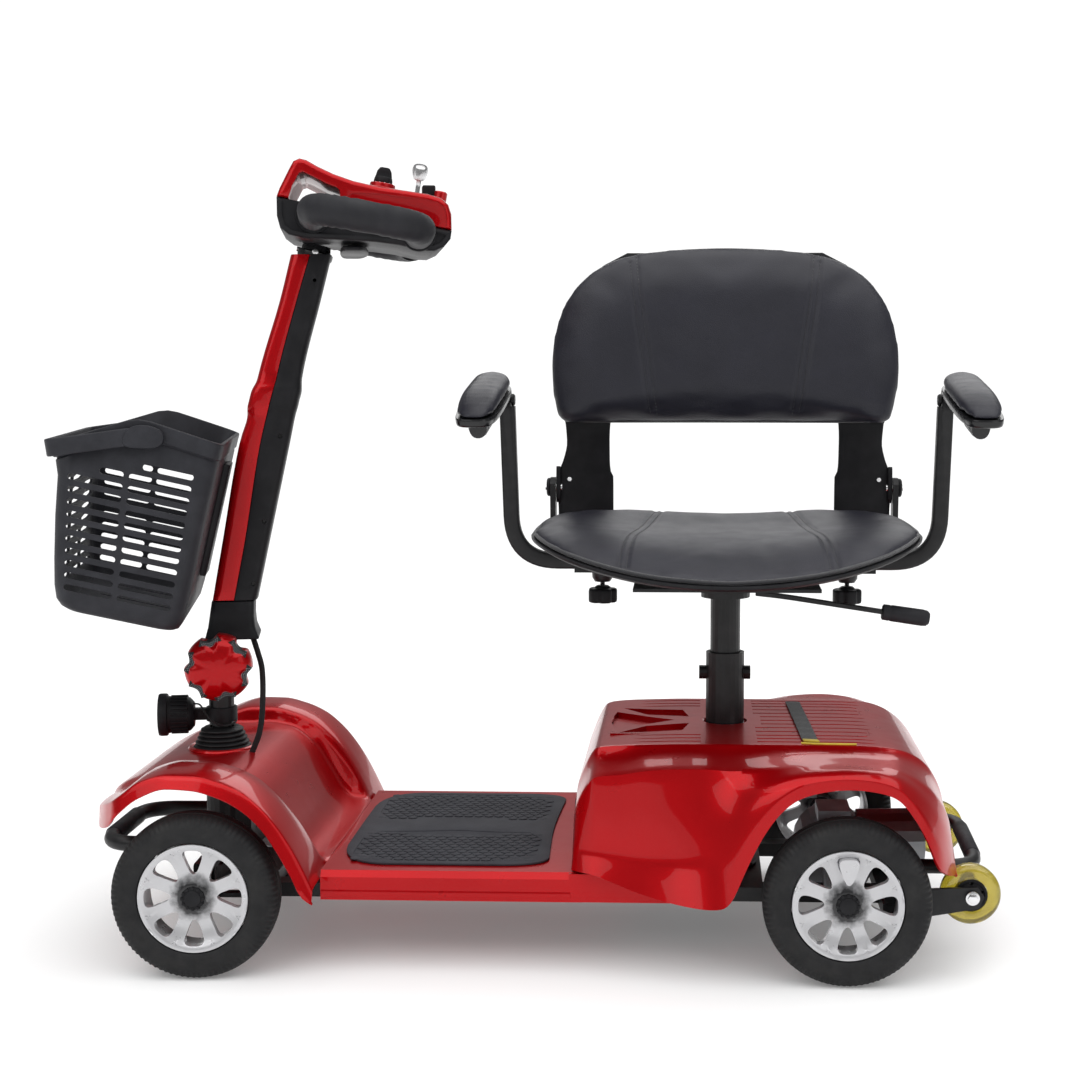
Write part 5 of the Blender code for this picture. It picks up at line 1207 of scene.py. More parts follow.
def basket():
    """The slotted basket, lofted down the outside and back up the inside."""
    v0 = BASKET_BACK
    walls = ((0.0442, v0 + 0.016, 0.172, 0.142), (0.0448, v0 + 0.01, 0.18, 0.148), (0.048, v0 + 0.005, 0.187, 0.152),
        (0.055, v0 + 0.002, 0.1935, 0.1545), (0.07, v0 + 0.001, 0.1985, 0.1565), (0.1, v0, 0.2045, 0.1595),
        (0.15, v0, 0.213, 0.1635), (0.195, v0, 0.219, 0.1665))
    rings = [basket_ring(*w) for w in walls]
    for drop, out in ((0.023, 0.0), (0.0212, -0.001), (0.02, -0.0002), (0.019, 0.0022), (0.0182, 0.0032),
            (0.011, 0.0034), (0.003, 0.004), (0.0008, 0.0036), (0.0, 0.0022)):
        rings.append(basket_ring(0, v0 - 0.4 * out, 0.2242 + out, 0.1695 + out, 0.02, drop))
    rings.append(basket_ring(0, v0 + 0.0022, 0.2215, 0.167, 0.019, 0.0))
    rings.append(basket_ring(0, v0 + 0.0032, 0.2205, 0.166, 0.018, 0.0015))
    t = 0.0032
    for u, a, b, w in reversed(walls):
        rings.append(basket_ring(max(u, 0.0482) if u < 0.06 else u, a + t, b - t, w - t, 0.0175))
    left = []
    for i in range(12):
        u, s = 0.072 + 0.014 * i, min(i / 9.0, 1.15)
        front, rear = 0.186 + 0.02 * s, 0.064 + 0.005 * s
        mid = rear + 0.53 * (front - rear)
        if i < 10:
            left.append((mid + 0.0028, front, u))
            left.append((rear, mid - 0.0028, u))
        elif i == 10:
            left.append((mid + 0.0028, mid + 0.03, u))
            left.append((rear, mid - 0.0028, u))
        else:
            left.append((rear, mid - 0.016, u))
    side_slots = together([slot_hole(a, b, u, 0.0074, (-0.2, 0.2)) for a, b, u in left])
    front_slots = []
    for i in range(10):
        u = 0.072 + 0.014 * i
        for a, b in ((-0.128, -0.047), (-0.04, 0.04), (0.047, 0.128)):
            ring = [(a, u - 0.0037), (b, u - 0.0037), (b, u + 0.0037), (a, u + 0.0037)]
            front_slots.append(loft([[along(q, v, y) for y, q in chaikin(ring, 1)] for v in (0.172, 0.26)]))
    holes = []
    for i in range(11):
        for y in (-0.138, 0.138):
            holes.append(rod(along(0.078 + 0.014 * i, 0.03, y), along(0.078 + 0.014 * i, 0.062, y), 0.0017, 12))
    floor_slots = []
    for y in (-0.105, -0.07, -0.035, 0.0, 0.035, 0.07, 0.105):
        ring = chaikin([(0.075, y - 0.004), (0.16, y - 0.004), (0.16, y + 0.004), (0.075, y + 0.004)], 1)
        floor_slots.append(loft([[along(u, v, w) for v, w in ring] for u in (0.03, 0.06)]))
    piece("basket_body", loft(rings), BASKET, "basket", in_tiller, cuts=[side_slots, together(front_slots),
        together(holes), together(floor_slots)], replaces="basket", angle=40.0)
    bracket = loft([[along(u, v, y) for v, y in ((0.04, -0.03), (0.0468, -0.034), (0.0468, 0.034), (0.04, 0.03))]
        for u in (0.1, 0.24)])
    piece("basket_hook_plate", bracket, SHELL, "basket", in_tiller, bevel=0.0015)


def handle():
    y = BASKET_HALF + 0.0085
    path = [along(0.262, 0.13, -y), along(0.256, 0.15, -y), along(0.224, 0.233, -y), along(0.224, 0.233, y),
        along(0.256, 0.15, y), along(0.262, 0.13, y)]
    path = rounded(path, 0.018, 8)
    h, w, c = 0.01, 0.0032, 0.0016
    profile = []
    for cx, cy, start in ((w - c, h - c, 0), (-w + c, h - c, 90), (-w + c, -h + c, 180), (w - c, -h + c, 270)):
        profile += [(cx + c * math.cos(math.radians(start + k)), cy + c * math.sin(math.radians(start + k)))
            for k in (0, 30, 60, 90)]
    caps = []
    for s in (-1, 1):
        outline = chaikin([(0.11, 0.253), (0.11, 0.27), (0.128, 0.275), (0.147, 0.2705), (0.155, 0.259),
            (0.153, 0.244), (0.131, 0.247)], 2)
        low, high = sorted((s * (BASKET_HALF + 0.0042), s * (BASKET_HALF + 0.013)))
        caps.append(loft([[along(0.2585 + (u - 0.2585) * k, 0.133 + (v - 0.133) * k, q) for v, u in outline] for k,
            q in ((0.96, low), (1.0, low + 0.0016), (1.0, high - 0.0026), (0.9, high))]))
    piece("basket_carry_handle", sweep(path, profile, MAST_AXIS), BASKET, "basket_handle", in_tiller, adds=caps,
        replaces="basket_handle", angle=36.0)


basket()
handle()


# ---------------------------------------------------------------- fold knob, headlight, harness
def star(r, dip, lobes, per):
    """A round outline with soft lobes, per points to each."""
    n = lobes * per
    out = []
    for i in range(n):
        a = 2 * math.pi * i / n
        wave = math.cos(lobes * a)
        k = r + dip * (0.6 - 1.5 * max(0.0, -wave) ** 1.4)
        out.append((k * math.cos(a), k * math.sin(a)))
    return out


def fold_knob():
    def ring(scale, y, radius=0.0378, dip=0.0048):
        shape = star(radius, dip * min(1.0, scale), 6, 16)
        c, s = math.cos(0.26), math.sin(0.26)
        return [(FOLD_X + scale * (a * c - b * s), y, FOLD_Z + scale * (a * s + b * c)) for a, b in shape]

    body = loft([ring(0.84, -0.05), ring(0.95, -0.0515), ring(1.0, -0.0555), ring(1.0, -0.068), ring(0.965, -0.0745),
        ring(0.88, -0.0795), ring(0.72, -0.0832), ring(0.5, -0.0852), ring(0.25, -0.086), ring(0.06, -0.0862)])
    bolt = together([rod((FOLD_X, 0.022, FOLD_Z), (FOLD_X, -0.052, FOLD_Z), 0.0049, 24),
        rod((FOLD_X, -0.036, FOLD_Z), (FOLD_X, -0.0512, FOLD_Z), 0.012, 32), rod((FOLD_X, 0.0185, FOLD_Z),
        (FOLD_X, 0.0235, FOLD_Z), 0.009, 6)])
    piece("fold_knob_body", body, RED, "fold_knob", in_tiller, replaces="fold_knob", angle=55.0)
    piece("fold_knob_bolt", bolt, BRIGHT, "fold_knob", in_tiller, bevel=0.0005)
    pads, dots = [], []
    for i in range(6):
        a0 = math.pi / 6 + i * math.pi / 3 + 0.26
        arc = []
        for t in np.linspace(-1, 1, 13):
            a = a0 + 0.31 * t
            r = 0.0322 + 0.0062 * t * t
            arc.append((FOLD_X + r * math.cos(a), -0.0695, FOLD_Z + r * math.sin(a)))
        pads.append(sweep(arc, [(-0.0108, -0.0046), (0.0108, -0.0046), (0.0108, 0.0024), (-0.0108, 0.0024)],
            (math.cos(a0), 0, math.sin(a0))))
        for t in np.linspace(-0.86, 0.86, 10):
            for row in (-0.0034, -0.0012, 0.001):
                a, r = a0 + 0.31 * t, 0.0322 + 0.0062 * t * t + row
                x, z = FOLD_X + r * math.cos(a), FOLD_Z + r * math.sin(a)
                dots.append(rod((x, -0.0798, z), (x, -0.0809, z), 0.0005, 6))
    piece("fold_knob_grip_pads", together(pads), CABLE, "fold_knob", in_tiller, slot="black_plastic")
    piece("fold_knob_grip_dots", together(dots), GREY, "fold_knob", in_tiller)


def headlight():
    body = revolve([(0.0, -0.66), (0.015, -0.66), (0.0172, -0.662), (0.0205, -0.665), (0.0222, -0.67),
        (0.0226, -0.688), (0.0232, -0.6915), (0.0258, -0.6925), (0.0264, -0.6945), (0.0264, -0.701), (0.0256, -0.703),
        (0.0238, -0.7034), (0.0228, -0.702), (0.0205, -0.6925), (0.013, -0.686), (0.0, -0.685)], (0, 0, LAMP_Z),
        (1, 0, 0), 64, False)
    ribs = []
    for i in range(26):
        a = 2 * math.pi * i / 26
        c, s = math.cos(a), math.sin(a)
        ring = [(0.0218, -0.0012), (0.024, -0.0009), (0.024, 0.0009), (0.0218, 0.0012)]
        ribs.append(loft([[(x, r * c - w * s, LAMP_Z + r * s + w * c) for r, w in ring] for x in (-0.688, -0.668)]))
    piece("headlight_body", together([body] + ribs), SHELL, "steer_column", in_tiller, replaces="headlight_housing")
    bowl = revolve([(0.0, -0.6858), (0.0126, -0.6868), (0.02, -0.693), (0.0226, -0.7012), (0.0222, -0.7013),
        (0.0194, -0.6938), (0.0122, -0.6878), (0.0, -0.6868)], (0, 0, LAMP_Z), (1, 0, 0), 56, False)
    led = revolve([(0.0, -0.69), (0.004, -0.6898), (0.0046, -0.687), (0.0, -0.6865)], (0, 0, LAMP_Z), (1, 0, 0), 24,
        False)
    piece("headlight_reflector", together([bowl, led]), BRIGHT, "steer_column", in_tiller)
    glass = revolve([(0.0, -0.7008), (0.0218, -0.7008), (0.0224, -0.7018), (0.018, -0.7034), (0.01, -0.7043),
        (0.0, -0.7046)], (0, 0, LAMP_Z), (1, 0, 0), 56, False)
    piece("headlight_glass", glass, LENS, "steer_column", in_tiller, replaces="headlight_lens")
    clamp = together([revolve([(0.0158, 0.2515), (0.0188, 0.2515), (0.0192, 0.2535), (0.0192, 0.2665),
        (0.0188, 0.2685), (0.0158, 0.2685)], (STEER_X, 0, 0), (0, 0, 1), 48), box(-0.662, -0.644, -0.006, 0.006, 0.253,
        0.267), rod((-0.653, -0.0085, 0.26), (-0.653, 0.0085, 0.26), 0.0032, 16)])
    piece("headlight_clamp", clamp, SHELL, "steer_column", in_tiller)


def cables():
    """The flat harness in two lengths, each running over one joint, and the lamp's thin lead."""
    flat = [(0.0036 * math.cos(a), 0.0018 * math.sin(a)) for a in np.linspace(0, 2 * math.pi, 17)[:-1]]
    lower = [(-0.5905, -0.034, 0.2135), (-0.586, -0.0345, 0.224), (-0.58, -0.035, 0.24), (-0.5765, -0.035, 0.26),
        (-0.575, -0.034, 0.2816)]
    upper = [(-0.575, -0.034, 0.2816), (-0.5745, -0.033, 0.3), (-0.5755, -0.031, 0.322), (-0.58, -0.028, 0.34),
        (-0.585, -0.024, 0.356), (-0.588, -0.021, 0.368)]
    for name, points, a, b, replaced in (("lower", lower, "chassis", "steer_column", "harness_lower"),
            ("upper", upper, "steer_column", "tiller", "harness_upper")):
        path = smooth_path(points, 26)
        world = [in_tiller(p) for p in path]
        shape = sweep(world, flat, (0, 1, 0))
        obj = linked("harness_" + name + "_lead", to_mesh(shape))
        obj.data.materials.append(CABLE)
        shade(obj, 60.0)
        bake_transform(obj)
        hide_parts(replaced)
        length = sum(math.dist(p, q) for p, q in zip(world, world[1:]))
        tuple(world[0])
    lead = smooth_path([(-0.66, -0.009, 0.2745), (-0.652, -0.016, 0.274), (-0.644, -0.02, 0.262),
        (-0.633, -0.0215, 0.251), (-0.62, -0.0205, 0.248), (-0.6105, -0.012, 0.25), (-0.6085, -0.003, 0.253)], 30)
    world = [in_tiller(p) for p in lead]
    length = sum(math.dist(p, q) for p, q in zip(world, world[1:]))
    obj = piece("headlight_lead", sweep(world, circle(0.0011, 12)), CABLE, "steer_column", None)
    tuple(world[0])


fold_knob()
headlight()
cables()


# ---------------------------------------------------------------- soft pieces
def puffed(name, shape, body, replaced, cap, voxel=0.005, pressure=4.0, place=in_world, keep=None,
        finish=None):
    """A stuffed piece: its shape blown up as cloth, softened, then marked by its seams."""
    obj = linked(name, to_mesh(shape, place))
    modifier = obj.modifiers.new("even", "REMESH")
    modifier.mode, modifier.voxel_size = "VOXEL", voxel
    settle(obj)
    before = np.array([v.co for v in obj.data.vertices])
    pins = obj.vertex_groups.new(name="pins")
    held = [v.index for v in obj.data.vertices if keep and keep(v.co)]
    pins.add(held, 1.0, "REPLACE")
    modifier = obj.modifiers.new("stuffing", "CLOTH")
    cloth = modifier.settings
    cloth.quality, cloth.mass, cloth.use_pressure, cloth.uniform_pressure_force = 5, 0.3, True, pressure
    cloth.tension_stiffness = cloth.compression_stiffness = 22.0
    cloth.bending_stiffness = 6.0
    cloth.effector_weights.gravity = 0.0
    if held:
        cloth.vertex_group_mass = "pins"
    modifier.point_cache.frame_start, modifier.point_cache.frame_end = 1, PUFF_FRAMES
    for step in range(1, PUFF_FRAMES + 1):
        bpy.context.scene.frame_set(step)
    settle(obj)
    bpy.context.scene.frame_set(1)
    after = np.array([v.co for v in obj.data.vertices])
    moved_by = after - before
    far = np.linalg.norm(moved_by, axis=1, keepdims=True)
    moved_by *= cap * np.tanh(far / cap) / np.maximum(far, 1e-9)
    obj.data.vertices.foreach_set("co", (before + moved_by).ravel())
    obj.vertex_groups.clear()
    modifier = obj.modifiers.new("soften", "SMOOTH")
    modifier.factor, modifier.iterations = 0.5, 26
    modifier = obj.modifiers.new("finer", "SUBSURF")
    modifier.levels = modifier.render_levels = 1
    settle(obj)
    if finish:
        finish(obj)
    obj.data.materials.clear()
    obj.data.materials.append(LEATHER)
    shade(obj, 70.0)
    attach(obj, body)
    if replaced:
        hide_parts(replaced)
    return obj


def grooved(obj, lines, depth, width, facing):
    """Seam lines pressed into the side of the mesh that looks along facing."""
    mesh = obj.data
    co = np.array([v.co for v in mesh.vertices])
    normal = np.array([v.normal for v in mesh.vertices])
    look = normal @ np.array(facing)
    push = np.zeros(len(co))
    for line in lines:
        points = np.array(line)
        near = np.full(len(co), 1e9)
        for a, b in zip(points[:-1], points[1:]):
            ab = b - a
            t = np.clip(((co - a) @ ab) / (ab @ ab), 0, 1)
            near = np.minimum(near, np.linalg.norm(co - (a + t[:, None] * ab), axis=1))
        push = np.maximum(push, np.exp(-(near / width) ** 2))
    co -= normal * (push * depth * np.clip(look * 2.0, 0, 1))[:, None]
    mesh.vertices.foreach_set("co", co.ravel())


def dropped(obj, points, start, aim):
    """Points cast onto the mesh from start offsets along aim; the ones that miss are left out."""
    tree = bvh_of(obj)
    out = []
    for p in points:
        origin = Vector(in_world(p)) + Vector(start)
        hit, normal, _, _ = tree.ray_cast(origin, Vector(aim), 0.3)
        if hit is not None:
            out.append((np.array(hit), np.array(normal)))
    return out


def bvh_of(obj):
    mesh = obj.data
    return BVHTree.FromPolygons([tuple(v.co) for v in mesh.vertices], [tuple(p.vertices) for p in mesh.polygons])


def evened(loop, reach=3):
    """A closed line with its small bumps averaged out."""
    p = np.array(loop)
    return [tuple(q) for q in sum(np.roll(p, k, axis=0) for k in range(-reach, reach + 1)) / (2 * reach + 1)]


def laid(obj, seams, start, aim):
    """Every fourth point of each seam, cast onto the mesh."""
    return [[tuple(point) for point, _ in dropped(obj, seam[::4], start, aim)] for seam in seams]


def stitches(obj, seams, start, aim, r=0.00034, lift=0.0002):
    """Short threads laid along the seams, on the mesh."""
    shapes = []
    for seam in seams:
        hits = dropped(obj, seam, start, aim)
        for (a, n), (b, _) in zip(hits[0::2], hits[1::2]):
            if 0.0005 < np.linalg.norm(b - a) < 0.02:
                shapes.append(rod(tuple(a + n * lift), tuple(b + n * lift), r, 6))
    return together(shapes)


FROM_ABOVE = (0, 0, 0.1), (0, 0, -1)
FROM_FRONT = (0, -0.1, 0), (0, 1, 0)


# ---------------------------------------------------------------- seat
def plan(phi):
    """Outline of the cushion in plan. Its front looks towards -Y."""
    c, s = math.cos(phi), math.sin(phi)
    power, deep = (3.4, 0.165) if s > 0 else (2.08, 0.215)
    r = (abs(c / SEAT_HALF) ** power + abs(s / deep) ** power) ** (-1 / power)
    return r * c, r * s


def cushion_top(x, y):
    rise = 0.03 * (max(y, 0.0) / 0.165) ** 2
    fall = 0.016 * (min(y, 0.0) / 0.215) ** 2
    return 0.481 + rise - fall + 0.4 * x * x


def cushion_ring(f, drop, low=False, seg=96):
    ring = []
    for i in range(seg):
        x, y = plan(2 * math.pi * i / seg)
        z = cushion_top(x * f, y * f) - drop
        if low:
            z = max(z, 0.46)
        ring.append((x * f, y * f, z))
    return ring


def twin_seams(points, count, lay):
    """Double seam lines on both sides through (x, a) points, laid on a surface."""
    lines = []
    for _, side in SIDES:
        for gap in (0.0, SEAM_GAP):
            line = smooth_path([(side * (x - gap), a, 0.0) for x, a in points], count)
            lines.append([lay(x, a) for x, a, _ in line])
    return lines


SEAT_SEAMS = twin_seams(((0.086, 0.158), (0.09, 0.12), (0.104, 0.04), (0.118, -0.06), (0.123, -0.14), (0.124, -0.205)),
    150, lambda x, y: (x, y, cushion_top(x, y)))


def seat():
    rings = [cushion_ring(f, drop) for f, drop in ((0.2, 0.004), (0.45, 0.004), (0.7, 0.004), (0.84, 0.0045),
        (0.92, 0.006), (0.965, 0.0085), (0.985, 0.011), (0.99, 0.014))]
    rings += [cushion_ring(f, drop, True) if f < 0.8 else cushion_ring(f, drop) for f,
        drop in ((0.975, 0.0165), (0.9, 0.019), (0.75, 0.02), (0.5, 0.02))]

    def marked(obj):
        grooved(obj, laid(obj, SEAT_SEAMS, *FROM_ABOVE), 0.0022, 0.003, (0, 0, 1))
        co = np.array([v.co for v in obj.data.vertices])
        x, y = co[:, 0] - SHIFT_X, co[:, 1] - SHIFT_Y
        edge = np.clip((np.abs(x) / 0.24) ** 2.3 + (np.abs(y) / 0.205) ** 2.3, 0, 1) ** 4
        co[:, 2] += 0.0003 * edge * np.sin(150 * x + 60 * y) * np.sin(95 * y - 40 * x + 1.1)
        obj.data.vertices.foreach_set("co", co.ravel())

    cover = puffed("seat_cushion_cover", loft(rings), "seat", "seat_cushion", 0.011,
        keep=lambda co: co.z < cushion_top(co.x - SHIFT_X, co.y - SHIFT_Y) - 0.015, finish=marked)
    piece("seat_cushion_stitches", stitches(cover, SEAT_SEAMS, *FROM_ABOVE), THREAD, "seat", None)
    tree = bvh_of(cover)
    path = []
    for i in range(160):
        x, y = plan(2 * math.pi * i / 160)
        z = cushion_top(x, y) - 0.015
        near = tree.find_nearest(Vector(in_world((x, y, z))))[0]
        path.append(tuple(near))
    path = evened(path)
    verts = []
    n = len(path)
    for i, p in enumerate(path):
        along_it = unit(np.array(path[(i + 1) % n]) - np.array(path[i - 1]))
        flat = unit(np.cross(along_it, (0, 0, 1.0)))
        up = np.cross(flat, along_it)
        for k in range(10):
            t = 2 * math.pi * k / 10
            verts.append(tuple(np.array(p) + 0.0026 * (flat * math.cos(t) + up * math.sin(t))))
    piece("seat_cushion_piping", (verts, ring_faces(n, 10, True)), PIPING, "seat", None)
    pan = [cushion_ring(f, drop) for f, drop in ((0.6, 0.018), (0.9, 0.0175), (0.975, 0.0168), (0.99, 0.0172),
        (0.988, 0.02), (0.96, 0.0238), (0.9, 0.0262), (0.8, 0.0272), (0.6, 0.0275))]
    piece("seat_cushion_pan", loft(pan), SHELL, "seat", angle=50.0)


BACK_OUT = ((0.0, 0.848), (0.04, 0.8477), (0.08, 0.8458), (0.12, 0.84), (0.15, 0.831), (0.175, 0.8165), (0.196, 0.797),
    (0.212, 0.773), (0.2225, 0.745), (0.2275, 0.715), (0.229, 0.69), (0.2275, 0.665), (0.224, 0.64), (0.219, 0.62),
    (0.212, 0.6145), (0.2, 0.613), (0.16, 0.6133), (0.11, 0.6138), (0.06, 0.614), (0.0, 0.614))


def back_y(x, z):
    return 0.178 + 0.12 * (z - 0.616) - 0.34 * x * x


def back_ring(scale, off):
    full = list(BACK_OUT) + [(-x, z) for x, z in reversed(BACK_OUT[1:-1])]
    ring = []
    for x, z in chaikin(full, 1):
        a, b = x * scale, 0.728 + (z - 0.728) * scale
        ring.append((a, back_y(a, b) + off, b))
    return ring


BACK_SEAMS = twin_seams(((0.125, 0.842), (0.118, 0.78), (0.106, 0.7), (0.096, 0.628)), 100, lambda x,
    z: (x, back_y(x, z) - 0.036, z))


def seat_back():
    """The back cushion with its shell, side plates and hinges."""
    rings = [back_ring(0.2, -0.036), back_ring(0.5, -0.036), back_ring(0.75, -0.0352), back_ring(0.88, -0.033),
        back_ring(0.95, -0.0285), back_ring(0.984, -0.022), back_ring(0.996, -0.015), back_ring(0.998, -0.008),
        back_ring(0.98, -0.003), back_ring(0.9, -0.0016), back_ring(0.45, -0.0016)]

    def marked(obj):
        grooved(obj, laid(obj, BACK_SEAMS, *FROM_FRONT), 0.0022, 0.003, (0, -1, 0))
        co = np.array([v.co for v in obj.data.vertices])
        x, z = co[:, 0] - SHIFT_X, co[:, 2]
        low = np.exp(-((z - 0.628) / 0.016) ** 2)
        co[:, 1] += 0.0011 * low * np.sin(70 * x + 0.6) * np.sin(210 * z)
        obj.data.vertices.foreach_set("co", co.ravel())

    def held(co):
        return co.y - SHIFT_Y > back_y(co.x - SHIFT_X, co.z) - 0.0045

    cover = puffed("back_cushion_cover", loft(rings), "seat_back", "back_cushion", 0.011, keep=held, finish=marked)
    piece("back_cushion_stitches", stitches(cover, BACK_SEAMS, *FROM_FRONT), THREAD, "seat_back", None)
    tree = bvh_of(cover)
    ring = back_ring(0.992, -0.0035)
    near = [tuple(tree.find_nearest(Vector(in_world(p)))[0]) for p in ring]
    path = evened(near)
    path.append(path[0])
    piece("back_cushion_piping", sweep(path, circle(0.0024, 10)), PIPING, "seat_back", None)
    grid = []
    for z in np.linspace(0.616, 0.838, 15):
        half = float(np.interp(z, (0.616, 0.66, 0.7, 0.745, 0.773, 0.797, 0.8165, 0.831, 0.838),
            (0.208, 0.219, 0.221, 0.216, 0.205, 0.189, 0.168, 0.143, 0.128)))
        grid.append([(x, back_y(x, z) + 0.0072, z) for x in np.linspace(-half, half, 25)])
    verts, faces = [], []
    rows, cols = len(grid), len(grid[0])
    for off in (0.0, -0.0066):
        for row in grid:
            verts += [(x, y + off, z) for x, y, z in row]
    half_n = rows * cols
    for i in range(rows - 1):
        for j in range(cols - 1):
            a = i * cols + j
            faces += [(a, a + 1, a + cols + 1, a + cols), (half_n + a, half_n + a + cols, half_n + a + cols + 1,
                half_n + a + 1)]
    border = [j for j in range(cols)] + [i * cols + cols - 1 for i in range(1, rows)]
    border += [(rows - 1) * cols + j for j in range(cols - 2, -1, -1)] + [i * cols for i in range(rows - 2, 0, -1)]
    for a, b in zip(border, border[1:] + border[:1]):
        faces.append((a, b, half_n + b, half_n + a))
    piece("seat_back_shell", (verts, faces), SHELL, "seat_back", bevel=0.0015, replaces="back_frame")
    for word, side in SIDES:
        rings = []
        table = ((0.482, 0.146, 0.219, 0.1878), (0.5, 0.146, 0.219, 0.1878), (0.52, 0.146, 0.22, 0.1878),
            (0.545, 0.1462, 0.22, 0.1868), (0.553, 0.15, 0.2175, 0.1858), (0.57, 0.1506, 0.211, 0.183),
            (0.59, 0.1506, 0.207, 0.179), (0.61, 0.1498, 0.208, 0.1745), (0.64, 0.144, 0.212, 0.173),
            (0.655, 0.14, 0.212, 0.1735))
        zs = np.linspace(0.482, 0.655, 26)
        for z, (a, b, y) in zip(zs, resampled(table, zs)):
            xs = np.linspace(a, b, 7)
            bow = [0.0018 * math.sin(math.pi * k / 6) for k in range(7)]
            front = [(side * x, y - w, z) for x, w in zip(xs, bow)]
            back = [(side * x, y + 0.0066 - w, z) for x, w in zip(xs[::-1], bow)]
            rings.append(front + back)
        shape = loft(rings)
        piece(word + "_back_side_plate", shape, SHELL, "seat_back", bevel=0.0018, segments=3, angle=44.0)
        cover_shape = revolve([(0.0, 0.0), (0.0118, 0.0), (0.0122, 0.0012), (0.0122, 0.0032), (0.01, 0.0046),
            (0.0, 0.005)], (side * 0.2298, BACK_Y, BACK_Z), (side, 0, 0), 36, False)
        arm_shape = [(BACK_Y - 0.0075, 0.512), (BACK_Y + 0.006, 0.508), (BACK_Y + 0.0085, 0.53),
            (BACK_Y + 0.007, 0.545), (BACK_Y - 0.0035, 0.56), (BACK_Y - 0.009, 0.555), (BACK_Y - 0.01, 0.53)]
        low, high = sorted((side * 0.216, side * 0.2215))
        cheek = extruded(chaikin(arm_shape, 2), 0, low, high)
        piece(word + "_hinge_cover", together([cover_shape, cheek]), SHELL, "seat_back", bevel=0.0008)
        pin = together([rod((side * 0.214, BACK_Y, BACK_Z), (side * 0.23, BACK_Y, BACK_Z), 0.0054, 20),
            rod((side * 0.2345, BACK_Y, BACK_Z), (side * 0.2362, BACK_Y, BACK_Z), 0.0042, 6)])
        piece(word + "_hinge_pin", pin, BRIGHT, "seat_back")
        screw = rod((side * 0.204, 0.185, 0.541), (side * 0.204, 0.183, 0.541), 0.003, 6)
        piece(word + "_plate_screw", screw, BRIGHT, "seat_back")


def squared(half, corner, seg=4):
    """A square section with round corners."""
    out = []
    for cx, cy, start in ((1, 1, 0), (-1, 1, 90), (-1, -1, 180), (1, -1, 270)):
        for k in range(seg + 1):
            a = math.radians(start + 90 * k / seg)
            out.append((cx * (half - corner) + corner * math.cos(a), cy * (half - corner) + corner * math.sin(a)))
    return out


